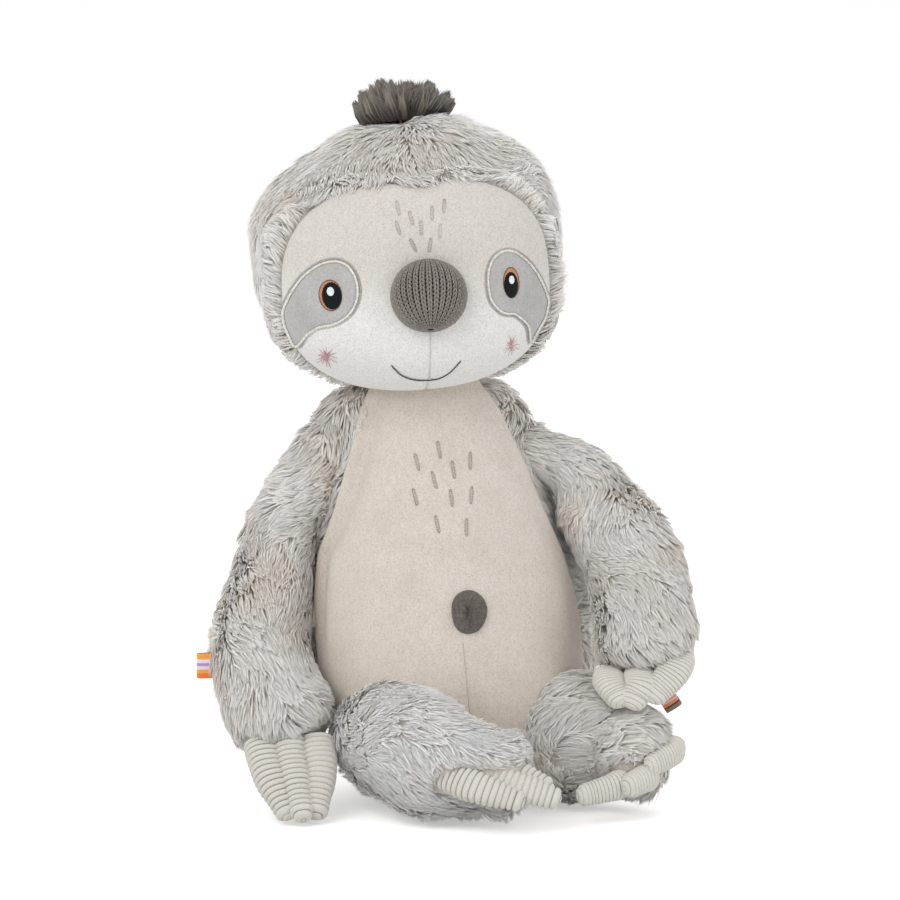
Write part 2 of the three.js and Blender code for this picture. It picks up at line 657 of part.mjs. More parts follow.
// The tuft's locks stand in a spiral on the crown and lean outwards from its middle.
function tuftForm() {
  const locks = [];
  for (let i = 0; i < TUFT_LOCKS; i += 1) {
    const out = Math.sqrt((i + 0.3) / TUFT_LOCKS);
    const turn = i * 2.4;
    const root = new THREE.Vector3(TUFT_HALF_WIDTH * out * Math.cos(turn), TUFT_HALF_DEPTH * out * Math.sin(turn), 0);
    const aim = new THREE.Vector3(root.x * 0.03, root.y * 0.03, 1).normalize();
    root.z = headReach(new THREE.Vector3(root.x, root.y, HEAD_HALF_HEIGHT).normalize()) - 4;
    const length = TUFT_LENGTH * (1 - 0.35 * out);
    const curl = new THREE.Vector3(Math.cos(turn + 1), Math.sin(turn + 1), 0).multiplyScalar(TUFT_LOCK_R * 0.7);
    const middle = root.clone().addScaledVector(aim, length * 0.55).add(curl);
    const tip = root.clone().addScaledVector(aim, length);
    const stations = [[root, 1], [middle, 1], [tip, 0.6]].map(([at, share]) => ({
      at, wide: TUFT_LOCK_R * share, deep: TUFT_LOCK_R * share,
    }));
    locks.push(sweep(stations, X, { sides: 5, rings: 2, capRings: 1 }));
  }
  const base = new THREE.SphereGeometry(1, 12, 6);
  base.rotateX(Math.PI / 2);
  base.scale(TUFT_HALF_WIDTH, TUFT_HALF_DEPTH, TUFT_BASE_HIGH);
  base.translate(0, 0, HEAD_HALF_HEIGHT - TUFT_BASE_HIGH / 2);
  locks.push(solidOf(base));
  const turned = new THREE.Matrix4().makeTranslation(HEAD_AT).multiply(new THREE.Matrix4().makeRotationY(HEAD_ROLL));
  const standing = geometryOf(joinAll(locks));
  standing.applyMatrix4(turned);
  return solidOf(standing).subtract(headForm(FIT));
}

sew(head, 'hair_tuft', tuftForm(), YARN);

// Arms and legs. The fur is a sleeve sewn round its opening in the torso, and the filling's
// root ball reaches in through that opening.
function limbPieces(name, limb, furCutters, fillingCutters, claws, clawName) {
  const body = bodyGroup(pointOf(limb.path[0]));
  const opening = clawForm(claws, FIT);
  const floor = below(0);
  const sleeve = limbSweep(limb, 0).subtract(limbSweep(limb, -CLOTH));
  sew(body, `${name}_fur`, cutAll(sleeve, [opening, floor, ...furCutters]), FUR);
  sew(body, `${name}_filling`, cutAll(limbSweep(limb, -CLOTH - FIT), [opening, ...fillingCutters]), FILLING);
  sew(body, clawName, cutAll(clawForm(claws, 0), [floor, ...furCutters]), CORDUROY);
  return body;
}

function armPieces(name, limb, claws, clawName, obstacles = []) {
  const cutters = [flankWay(limb), ...obstacles];
  return limbPieces(name, limb, cutters, cutters, claws, clawName);
}

function legPieces(name, limb, axis, range, claws, clawName) {
  const way = haunchWay(limb, axis, range);
  const root = ballAt(pointOf(limb.path[0]), rootRadius(limb));
  return limbPieces(name, limb, [way], [way.subtract(root)], claws, clawName);
}

// The way that the left leg's top sweeps clear under the left hand.
function thighWay() {
  const top = LEG_LEFT.path.map(([x, y, z, r]) => [Math.hypot(x - hipLeft.x, y - hipLeft.y), z + r + SWING]);
  const [reach, height] = top.at(-1);
  const end = reach + LEG_LEFT.path.at(-1)[3] * LEG_LEFT.endCap + SWING;
  const profile = [...top.slice(1), [end - 6, height - 6], [end, 0]];
  const up = profile.map(([out, z]) => [out, z - hipLeft.z]);
  return spun([[up[0][0], -REACH / 4], ...up, [end, -REACH / 4]], hipLeft, SPREAD);
}

const armRight = armPieces('arm_right', ARM_RIGHT, HAND_CLAWS_RIGHT, 'hand_claws_right');
armPieces('arm_left', ARM_LEFT, HAND_CLAWS_LEFT, 'hand_claws_left', [thighWay()]);
legPieces('leg_right', LEG_RIGHT, LIFT, LEG_LIFT, FOOT_CLAWS_RIGHT, 'foot_claws_right');
const legLeft = legPieces('leg_left', LEG_LEFT, SPREAD, LEG_SPREAD, FOOT_CLAWS_LEFT, 'foot_claws_left');

// A ribbon folded into a loop, its two ends at x = 0 and its fold pointing along +X.
function loopForm() {
  const half = LOOP_GAP / 2 + LOOP_THICK;
  const inner = LOOP_GAP / 2;
  const shape = new THREE.Shape();
  shape.moveTo(0, -half);
  shape.lineTo(LOOP_OUT - half, -half);
  shape.absarc(LOOP_OUT - half, 0, half, -Math.PI / 2, Math.PI / 2, false);
  shape.lineTo(0, half);
  shape.lineTo(0, inner);
  shape.lineTo(LOOP_OUT - half, inner);
  shape.absarc(LOOP_OUT - half, 0, inner, Math.PI / 2, -Math.PI / 2, true);
  shape.lineTo(0, -inner);
  shape.closePath();
  const ribbon = new THREE.ExtrudeGeometry(shape, { depth: LOOP_WIDE, bevelEnabled: false, curveSegments: 3 });
  ribbon.translate(0, 0, -LOOP_WIDE / 2);
  return ribbon;
}

// Sews a loop to a limb at a point of its centre line, standing out along its aim.
function sewLoop(body, name, limb, loop) {
  const ribbon = loopForm();
  ribbon.rotateX(loop.turn);
  ribbon.translate(loop.reach - LOOP_SEWN_IN, 0, 0);
  ribbon.rotateY(loop.droop);
  ribbon.rotateZ(Math.atan2(loop.aim.y, loop.aim.x));
  ribbon.translate(loop.at.x, loop.at.y, loop.at.z);
  sew(body, name, solidOf(ribbon).subtract(limbSweep(limb, FIT)), RIBBON);
}

sewLoop(armRight, 'label_loop_arm', ARM_RIGHT, ARM_LOOP);
sewLoop(legLeft, 'label_loop_leg', LEG_LEFT, LEG_LOOP);

export default group;
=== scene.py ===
"""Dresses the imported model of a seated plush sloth.

Every size is in millimetres and is turned into metres when a mesh is made. The toy looks along
-Y, its own left side is +X, and the origin is the middle of its flat seat.
"""

from __future__ import annotations

import logging
import math
from collections.abc import Callable
from dataclasses import dataclass
from enum import Enum

import bpy
import numpy as np
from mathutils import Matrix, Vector


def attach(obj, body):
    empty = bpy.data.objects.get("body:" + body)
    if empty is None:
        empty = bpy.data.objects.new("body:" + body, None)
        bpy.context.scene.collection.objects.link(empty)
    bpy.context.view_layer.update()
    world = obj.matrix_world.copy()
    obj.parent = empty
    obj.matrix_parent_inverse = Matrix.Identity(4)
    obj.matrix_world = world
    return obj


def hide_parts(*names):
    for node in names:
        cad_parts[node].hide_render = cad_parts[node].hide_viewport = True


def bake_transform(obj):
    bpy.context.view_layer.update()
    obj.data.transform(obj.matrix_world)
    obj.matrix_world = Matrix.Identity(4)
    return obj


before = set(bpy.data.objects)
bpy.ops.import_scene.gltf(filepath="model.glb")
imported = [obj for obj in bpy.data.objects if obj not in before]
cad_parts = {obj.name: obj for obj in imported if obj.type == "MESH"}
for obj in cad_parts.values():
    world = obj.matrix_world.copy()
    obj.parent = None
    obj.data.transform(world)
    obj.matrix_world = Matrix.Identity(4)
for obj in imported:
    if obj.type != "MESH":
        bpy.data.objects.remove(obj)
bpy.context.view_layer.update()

LOG = logging.getLogger("sloth")
MM = 0.001
TAU = 2 * math.pi

# How high above the floor the lowest pile and the backing stay, and how many locks each fur starts from
FLOOR_CLEAR = 0.35
ROOT_CLEAR = 2.2
HOOD_LOCKS = 62000
TORSO_LOCKS = 42000
ARM_LOCKS = 26000
LEG_LOCKS = 21000

# Where pile is left out: near the claws' middle lines, and near the neck below a height
CLAW_BARE = 9.5
NECK = (-23, 0, 232)
NECK_BARE = 44
NECK_TOP = 250

# The angle from which an edge shades as sharp, the pattern's name, and two shared values
SHARP = math.radians(62)
LAY = "lay"
WHITE = (1, 1, 1, 1)
SIDES = ("right", "left")

Array = np.ndarray
Pair = tuple[float, float]
Trio = tuple[float, float, float]
Rgb = tuple[int, int, int]
Rgba = tuple[float, float, float, float]
Stops = list[tuple[float, Rgba]]
Placer = Callable[[Array, Array, Array], tuple[Array, Array]]
Socket = bpy.types.NodeSocket
Material = bpy.types.Material
Piece = bpy.types.Object


class Slot(Enum):
    """The record's material slots."""

    PILE = "long_pile_fur"
    CREAM = "cream_velour"
    GREY = "grey_velour"
    THREAD = "embroidery"
    KNIT = "knit"
    CORD = "corduroy"
    YARN = "yarn"
    RIBBON = "ribbon"


# Numbers and curves


def unit(vectors: Array) -> Array:
    """Scales each vector along the last axis to length one."""
    return vectors / np.maximum(np.linalg.norm(vectors, axis=-1, keepdims=True), 1e-12)


def bell(values: Array, middle: float, width: float) -> Array:
    """A bell of height one: e to the power of minus ((value - middle) / width) squared."""
    return np.exp(-(((values - middle) / width) ** 2))


def square_to(side: Array, ahead: Array) -> Array:
    """The direction nearest to a side one that is square to each direction ahead."""
    return unit(side - (ahead @ side)[:, None] * ahead)


def facing_ahead(across: Array, upward: Array) -> Array:
    """The direction square to two steps on a surface, on the side that looks to -Y."""
    facing = unit(np.cross(across, upward))
    return np.where(facing[..., 1:2] > 0, -facing, facing)


def eased(values: Array, low: float, high: float) -> Array:
    """Passes from 0 at a low value to 1 at a high one along 3w^2 - 2w^3."""
    w = np.clip((values - low) / (high - low), 0, 1)
    return w * w * (3 - 2 * w)


def smooth_line(points: Array, t: Array) -> Array:
    """Points on the Catmull-Rom line through given points.

    Each stretch is the cubic that passes its two ends with slopes of half the step between
    their neighbours, and the line's ends are reflected.

    Args:
        points: The rows that the line passes through.
        t: Places along it, from 0 to 1, with the same share for each stretch.

    Returns:
        One row for each place.
    """
    p = np.asarray(points, float)
    p = np.vstack([2 * p[0] - p[1], p, 2 * p[-1] - p[-2]])
    k = np.clip(t, 0, 1) * (len(p) - 3)
    i = np.minimum(k.astype(int), len(p) - 4)
    w = (k - i)[:, None]
    a, b, c, d = p[i], p[i + 1], p[i + 2], p[i + 3]
    square = (2 * a - 5 * b + 4 * c - d) * w**2
    return 0.5 * (2 * b + (c - a) * w + square + (3 * b - a - 3 * c + d) * w**3)


def travelled(line: Array) -> Array:
    """The distance along a line of points, from its first point to each."""
    return np.concatenate([[0], np.cumsum(np.linalg.norm(np.diff(line, axis=0), axis=1))])


def respaced(line: Array, length: Array, wanted: Array) -> Array:
    """The points of a line at wanted distances along it."""
    return np.stack([np.interp(wanted, length, values) for values in line.T], axis=1)


def closed_line(corners: Array, count: int) -> Array:
    """A smooth closed outline through corners, evenly spaced along its length.

    Args:
        corners: The corners, in order.
        count: How many points the outline gets.

    Returns:
        The outline's points, the first not repeated.
    """
    p = np.asarray(corners, float)
    ring = np.vstack([p[-2:], p, p[:3]])
    fine = smooth_line(ring, np.linspace(2, len(p) + 2, 40 * len(p) + 1) / (len(ring) - 1))
    length = travelled(fine)
    return respaced(fine, length, np.linspace(0, length[-1], count, endpoint=False))


def along_line(points: Array, step: float) -> Array:
    """Points evenly spaced along a smooth open line through given points, about a step apart."""
    fine = smooth_line(points, np.linspace(0, 1, 60 * len(points)))
    length = travelled(fine)
    return respaced(fine, length, np.linspace(0, length[-1], max(2, round(length[-1] / step) + 1)))


class Wander:
    """A smooth random field in space: a lattice of random numbers joined by an eased blend."""

    SIZE = 32
    AWAY = 1000.37

    def __init__(self, seed: int, channels: int = 3) -> None:
        """Fills the lattice with numbers from -1 to 1."""
        rng = np.random.default_rng(seed)
        self.lattice = rng.uniform(-1, 1, (self.SIZE,) * 3 + (channels,))

    def at(self, points: Array, wavelength: float) -> Array:
        """The field at some points.

        Args:
            points: Places, in rows.
            wavelength: Spacing of the lattice.

        Returns:
            One row of channels for each point.
        """
        p = points / wavelength + self.AWAY
        low = np.floor(p).astype(int)
        w = eased(p - low, 0, 1)
        total = 0.0
        for corner in np.ndindex(2, 2, 2):
            at = (low + corner) % self.SIZE
            share = np.prod(np.where(corner, w, 1 - w), axis=-1, keepdims=True)
            total = total + share * self.lattice[at[..., 0], at[..., 1], at[..., 2]]
        return total


# Forms and meshes


@dataclass
class Form:
    """A mesh in the making: points, faces, and what each point carries.

    The facings, if there are any, are one array for each array of faces, with a direction for
    every corner of every face.
    """

    points: Array
    faces: list[Array]
    uv: Array | None = None
    shade: Array | None = None
    ruffle: Array | None = None
    facings: list[Array] | None = None

    def filled(self) -> "Form":
        """The same form with every point's values present."""
        n = len(self.points)
        return Form(
            self.points,
            self.faces,
            self.uv if self.uv is not None else np.zeros((n, 2)),
            self.shade if self.shade is not None else np.full(n, 0.5),
            self.ruffle if self.ruffle is not None else np.zeros(n),
            self.facings,
        )

    @staticmethod
    def joined(forms: list["Form"]) -> "Form":
        """Puts several forms into one.

        Args:
            forms: The forms to put together.

        Returns:
            One form that holds them all.
        """
        whole = [f.filled() for f in forms]
        starts = np.cumsum([0] + [len(f.points) for f in whole])
        return Form(
            np.concatenate([f.points for f in whole]),
            [face + start for f, start in zip(whole, starts) for face in f.faces],
            np.concatenate([f.uv for f in whole]),
            np.concatenate([f.shade for f in whole]),
            np.concatenate([f.ruffle for f in whole]),
        )


def make_piece(name: str, form: Form, material: Material, merge: bool = False) -> Piece:
    """Turns a form into a piece that shades smoothly.

    Args:
        name: The piece's name.
        form: Its mesh, in millimetres.
        material: Its finish.
        merge: Whether points that fall together are made one, which closes poles and seams.

    Returns:
        The new object, at the origin.
    """
    form = form.filled()
    mesh = bpy.data.meshes.new(name)
    corners = np.concatenate([f.ravel() for f in form.faces]).astype(np.int32)
    sizes = np.concatenate([np.full(len(f), f.shape[1]) for f in form.faces])
    starts = np.concatenate([[0], np.cumsum(sizes)[:-1]]).astype(np.int32)
    mesh.vertices.add(len(form.points))
    mesh.vertices.foreach_set("co", (form.points * MM).astype(np.float32).ravel())
    mesh.loops.add(len(corners))
    mesh.loops.foreach_set("vertex_index", corners)
    mesh.polygons.add(len(starts))
    mesh.polygons.foreach_set("loop_start", starts)
    mesh.update(calc_edges=True)
    mesh.polygons.foreach_set("use_smooth", np.ones(len(starts), bool))
    mesh.uv_layers.new(name=LAY).data.foreach_set("uv", form.uv[corners].astype(np.float32).ravel())
    for carried, values in (("shade", form.shade), ("ruffle", form.ruffle)):
        layer = mesh.attributes.new(carried, "FLOAT", "POINT")
        layer.data.foreach_set("value", values.astype(np.float32))
    if merge:
        merge_points(mesh)
        mesh.set_sharp_from_angle(angle=SHARP)
    elif form.facings is not None:
        facings = np.concatenate([f.reshape(-1, 3) for f in form.facings])
        mesh.normals_split_custom_set(facings.astype(np.float32))
    piece = bpy.data.objects.new(name, mesh)
    bpy.context.scene.collection.objects.link(piece)
    mesh.materials.append(material)
    return piece


def merge_points(mesh: bpy.types.Mesh) -> None:
    """Makes points that fall together one, drops what that flattens, and turns faces outwards."""
    import bmesh

    work = bmesh.new()
    work.from_mesh(mesh)
    bmesh.ops.remove_doubles(work, verts=work.verts, dist=2e-6)
    bmesh.ops.dissolve_degenerate(work, edges=work.edges, dist=1e-7)
    bmesh.ops.recalc_face_normals(work, faces=work.faces)
    work.to_mesh(mesh)
    work.free()
    mesh.update()


def grid_quads(rows: int, cols: int, closed: bool) -> Array:
    """The quads of a grid of points, its columns joined round if closed."""
    r = np.arange(rows - 1)[:, None]
    c = np.arange(cols if closed else cols - 1)[None, :]
    n = (c + 1) % cols
    quads = np.stack([r * cols + c, r * cols + n, (r + 1) * cols + n, (r + 1) * cols + c], axis=-1)
    return quads.reshape(-1, 4)


def tube_faces(rows: int, cols: int, inward: bool = False) -> list[Array]:
    """The quads between rings of points, and the fans that close both ends at a pole."""
    ring = np.arange(cols)
    after = (ring + 1) % cols
    if inward:
        ring, after = after, ring
    quads, base = grid_quads(rows, cols, True), (rows - 1) * cols
    first = np.stack([np.full(cols, rows * cols), after, ring], axis=1)
    last = np.stack([np.full(cols, rows * cols + 1), base + ring, base + after], axis=1)
    return [quads[:, ::-1] if inward else quads, first, last]


def tube_form(points: Array) -> Form:
    """A closed form from rings of points in rows, each end ring drawn together at a pole."""
    ends = [points[0].mean(0), points[-1].mean(0)]
    return Form(np.concatenate([points.reshape(-1, 3), ends]), tube_faces(*points.shape[:2]))


def shell_form(front: Array, back: Array, uv: Array) -> Form:
    """A cloth with a thickness: a front grid, a back grid, and the edge that joins them."""
    rows, cols = front.shape[:2]
    n = rows * cols
    quads = grid_quads(rows, cols, False)
    index = np.arange(n).reshape(rows, cols)
    rim = np.concatenate([index[0, :-1], index[:-1, -1], index[-1, :0:-1], index[:0:-1, 0]])
    after = np.roll(rim, -1)
    edge = np.stack([rim, rim + n, after + n, after], axis=1)
    points = np.concatenate([front.reshape(-1, 3), back.reshape(-1, 3)])
    return Form(points, [quads, quads[:, ::-1] + n, edge], np.concatenate([uv.reshape(-1, 2)] * 2))


def threads(paths: Array, up: Array, radius: Array | float, sides: int = 5) -> Form:
    """Threads that follow paths, each a closed tube with tapered ends.

    Args:
        paths: One path in each row, with the same count of points.
        up: The way each path's cloth faces, one row for each path.
        radius: Half the thread's width, the same or one for each path.
        sides: Corners of the tube's section.

    Returns:
        All the threads as one form, with their length along the pattern's second coordinate.
    """
    count, steps = paths.shape[:2]
    end_share, end_reach = 0.45, 0.4
    radius = np.broadcast_to(np.asarray(radius, float), (count,))
    along = unit(np.gradient(paths, axis=1))
    side = unit(np.cross(along, up[:, None, :]))
    over = np.cross(side, along)
    taper = np.ones((steps, 1, 1))
    taper[[0, -1]] = end_share
    turn = np.linspace(0, TAU, sides, endpoint=False)[:, None]
    ring = side[:, :, None] * np.cos(turn) + over[:, :, None] * np.sin(turn)
    points = paths[:, :, None] + radius[:, None, None, None] * taper * ring
    first = paths[:, 0] - along[:, 0] * radius[:, None] * end_reach
    last = paths[:, -1] + along[:, -1] * radius[:, None] * end_reach
    points = np.concatenate([points.reshape(count, -1, 3), np.stack([first, last], axis=1)], axis=1)
    shift = (np.arange(count) * (steps * sides + 2))[:, None, None]
    faces = [(f[None] + shift).reshape(-1, f.shape[1]) for f in tube_faces(steps, sides, True)]
    u = np.broadcast_to(np.arange(sides) / sides, (count, steps, sides))
    v = np.broadcast_to(np.linspace(0, 1, steps)[None, :, None], (count, steps, sides))
    uv = np.stack([u, v], axis=-1).reshape(count, -1, 2)
    uv = np.concatenate([uv, np.tile([[0.5, 0.0], [0.5, 1.0]], (count, 1, 1))], axis=1)
    return Form(points.reshape(-1, 3), faces, uv.reshape(-1, 2))


# Skins and the pile that grows on them


@dataclass
class Skin:
    """A closed surface of rings, with the way its pile is combed."""

    points: Array
    comb: Array

    def normals(self) -> Array:
        """Outward directions: the cross product of the steps round and along the grid."""
        across = np.roll(self.points, -1, axis=1) - np.roll(self.points, 1, axis=1)
        along = np.gradient(self.points, axis=0)
        facing = unit(np.cross(across, along))
        middle = self.points.mean(axis=1, keepdims=True)
        if np.mean(np.einsum("rcx,rcx->rc", facing, self.points - middle)) < 0:
            facing = -facing
        return facing

    def scattered(self, count: int, rng: np.random.Generator) -> tuple[Array, Array, Array]:
        """Random places, spread evenly by area.

        Args:
            count: How many places.
            rng: Source of the random numbers.

        Returns:
            The places, the outward directions and the combing there.
        """
        cols = self.points.shape[1]
        a, b = self.points[:-1], np.roll(self.points[:-1], -1, axis=1)
        c, d = np.roll(self.points[1:], -1, axis=1), self.points[1:]
        area = np.linalg.norm(np.cross(b - a, d - a), axis=-1)
        area = area + np.linalg.norm(np.cross(b - c, d - c), axis=-1)
        pick = rng.choice(area.size, count, p=area.ravel() / area.sum())
        r, k = pick // cols, pick % cols
        n = (k + 1) % cols
        u, v = rng.random((2, count, 1))

        def mixed(grid: Array) -> Array:
            """The grid's value inside each picked quad."""
            low = (1 - u) * grid[r, k] + u * grid[r, n]
            high = (1 - u) * grid[r + 1, k] + u * grid[r + 1, n]
            return (1 - v) * low + v * high

        return mixed(self.points), unit(mixed(self.normals())), mixed(self.comb)


@dataclass(frozen=True)
class Pile:
    """How one fur is cut, clumped and combed."""

    length: float = 13.0
    ragged: float = 0.25
    half_width: float = 0.55
    stand: float = 0.52
    droop: float = 0.45
    clump: float = 0.5
    tuft: float = 0.55
    clump_area: float = 20.0
    tuft_area: float = 190.0
    swirl: float = 1.9
    swirl_size: float = 36.0
    curl: float = 0.08
    flatness: float = 0.6
    seed: int = 1

    STATIONS = (0.0, 0.5, 1.0)
    SHARES = (0.75, 1.0)
    CORNERS = 7
    RUFFLE_SIZE = 21.0
    RUFFLE_FROM = 0.3
    RUFFLE_RISE = 2.2
    STRAY_TURN = 0.12
    RUFFLE_TURN = 0.3
    WAVE_LENGTH = 0.15
    WAVE_ANGLE = 0.22
    RUFFLE_ANGLE = 0.16
    STRAY_ANGLE = 0.1
    LOWEST = 0.12
    HIGHEST = 1.5
    LOCK_SHADE = 0.28
    CLUMP_SHADE = 0.36
    RIDGE_SHARE = 0.38
    EDGE_SHARE = 0.4

    def grown(
        self,
        roots: Array,
        facing: Array,
        comb: Array,
        shorten: Array | None = None,
        upright: Array | None = None,
    ) -> Form:
        """Locks that stand on a skin, lean with the combing and gather in clumps.

        A lock's line is root + length * (lean * (s cos a + d s^2) + out * s sin a (1 - d s)), with
        a sideways wave. It is drawn towards the line of its tuft's leader, then of its clump's
        leader, more strongly the nearer to its tip. Where the pile is ruffled the locks stand up
        and turn every way, and they are marked so that the finish can tint them warmer and darker:
        partly the roots' own tone, partly painted shade in the partings.

        Args:
            roots: Where each lock starts.
            facing: The skin's outward direction there.
            comb: The way the pile is brushed.
            shorten: A share of the full length for each lock.
            upright: An angle in radians by which each lock stands up more.

        Returns:
            The locks as one form of three-sided tapering solids.
        """
        rng = np.random.default_rng(self.seed)
        wander = Wander(self.seed + 50, 3)
        n = len(roots)
        lean = unit(comb - np.sum(comb * facing, axis=1, keepdims=True) * facing)
        side = np.cross(facing, lean)
        wave = wander.at(roots, self.swirl_size)
        ruffle = Wander(self.seed + 51, 1).at(roots, self.RUFFLE_SIZE)
        ruffle = np.clip((ruffle - self.RUFFLE_FROM) * self.RUFFLE_RISE, 0, 1)
        stray = self.STRAY_TURN + self.RUFFLE_TURN * ruffle
        turn = self.swirl * wave[:, :1] + rng.normal(0, 1, (n, 1)) * stray
        lean = lean * np.cos(turn) + side * np.sin(turn)
        side = np.cross(facing, lean)
        uneven = self.ragged * rng.uniform(-1, 1, (n, 1))
        length = self.length * (1 + uneven + self.WAVE_LENGTH * wave[:, 1:2])
        if shorten is not None:
            length = length * shorten[:, None]
        angle = self.stand + self.WAVE_ANGLE * wave[:, 2:3] + self.RUFFLE_ANGLE * ruffle
        angle = angle + rng.normal(0, self.STRAY_ANGLE, (n, 1))
        if upright is not None:
            angle = angle + upright[:, None]
        angle = np.clip(angle, self.LOWEST, self.HIGHEST)
        s = np.array(self.STATIONS)[None, :, None]
        sink = self.droop * s * np.clip(self.HIGHEST - angle, 0, 1)[:, None]
        out = s * np.sin(angle)[:, None] * (1 - sink)
        forward = s * np.cos(angle)[:, None] + 0.2 * self.droop * s**2
        sway = self.curl * np.sin(3.2 * s + rng.uniform(0, TAU, (n, 1, 1))) * s
        way = lean[:, None] * forward + facing[:, None] * out + side[:, None] * sway
        line = roots[:, None] + length[:, None] * way
        shade = rng.random(n) * self.LOCK_SHADE
        for area, strength in ((self.tuft_area, self.tuft), (self.clump_area, self.clump)):
            leaders = rng.permutation(n)[: self.count_of(roots, area)]
            owner = self.nearest(roots, roots[leaders])
            pull = strength * rng.uniform(0.55, 1.2, (n, 1, 1)) * s**1.4
            line = line + (line[leaders][owner] - line) * np.clip(pull, 0, 0.95)
            shade = shade + self.CLUMP_SHADE * rng.random(len(leaders))[owner]
        line[..., 2] = np.maximum(line[..., 2], FLOOR_CLEAR)
        return self.bodied(line, facing, rng, shade, ruffle[:, 0])

    @staticmethod
    def count_of(roots: Array, area: float) -> int:
        """How many clumps of an area the pile gathers in, from its roots' rough spread."""
        spread = roots.max(0) - roots.min(0)
        total = 1.1 * (spread[0] * spread[1] + spread[1] * spread[2] + spread[0] * spread[2])
        return int(min(len(roots), max(1, total / area)))

    @staticmethod
    def nearest(points: Array, centres: Array) -> Array:
        """The index of the centre nearest each point, worked out in slices."""
        found = np.empty(len(points), int)
        square = np.sum(centres**2, axis=1)
        for start in range(0, len(points), 2048):
            part = points[start : start + 2048]
            found[start : start + 2048] = np.argmin(square - 2 * part @ centres.T, axis=1)
        return found

    def bodied(
        self, line: Array, facing: Array, rng: np.random.Generator, shade: Array, ruffle: Array
    ) -> Form:
        """Gives each lock's line a three-sided body: two edges on the skin's side and a ridge.

        The upper faces are shaded almost like the skin below them, which keeps the pile soft,
        and the faces on the skin's side like their own undersides.
        """
        n = len(line)
        width = self.half_width * rng.uniform(0.7, 1.3, (n, 1, 1)) * np.array(self.SHARES)[None, :, None]
        along = unit(np.diff(line, axis=1))
        across = unit(np.cross(facing[:, None], along))
        ridge = np.cross(along, across)
        spine = line[:, :2]
        rings = np.stack(
            [spine - across * width, spine + across * width, spine + ridge * width * self.flatness], axis=2
        )
        points = np.concatenate([rings.reshape(n, 6, 3), line[:, 2:3]], axis=1)
        points[..., 2] = np.maximum(points[..., 2], FLOOR_CLEAR)
        soft, spread = facing[:, None] + ridge * self.RIDGE_SHARE, across * self.EDGE_SHARE
        upper = unit(np.stack([soft - spread, soft + spread, soft], axis=2).reshape(n, 6, 3))
        upper = np.concatenate([upper, unit(soft[:, 1:2])], axis=1)
        low = unit(0.55 * along - ridge + 0.2 * facing[:, None])
        lower = np.concatenate([np.repeat(low, 3, axis=1), low[:, 1:2]], axis=1)
        ids = (np.arange(n) % 61)[:, None, None]
        u = np.broadcast_to(np.array([0.05, 0.95, 0.5]), (n, 2, 3)) + ids
        v = np.broadcast_to(np.array(self.STATIONS[:2])[None, :, None], (n, 2, 3))
        tip = np.stack([ids[:, 0] + 0.5, np.ones((n, 1))], -1)
        uv = np.concatenate([np.stack([u, v], -1).reshape(n, 6, 2), tip], 1).reshape(-1, 2)
        shift = (np.arange(n) * self.CORNERS)[:, None, None]
        faces, facings = [], []
        for corners, normals in (
            (np.array([[1, 2, 5, 4], [2, 0, 3, 5]]), upper),
            (np.array([[0, 1, 4, 3]]), lower),
            (np.array([[4, 5, 6], [5, 3, 6]]), upper),
            (np.array([[3, 4, 6], [0, 2, 1]]), lower),
        ):
            faces.append((corners[None] + shift).reshape(-1, corners.shape[1]))
            facings.append(normals[:, corners].reshape(-1, corners.shape[1], 3))
        shade, ruffle = np.repeat(shade, self.CORNERS), np.repeat(ruffle, self.CORNERS)
        return Form(points.reshape(-1, 3), faces, uv, shade, ruffle, facings)


# Finishes


def linear(colour: Rgb) -> Rgba:
    """An sRGB colour of 0 to 255 as the linear colour that a shader takes."""
    c = np.array(colour, float) / 255
    lin = np.where(c <= 0.04045, c / 12.92, ((c + 0.055) / 1.055) ** 2.4)
    return (float(lin[0]), float(lin[1]), float(lin[2]), 1.0)


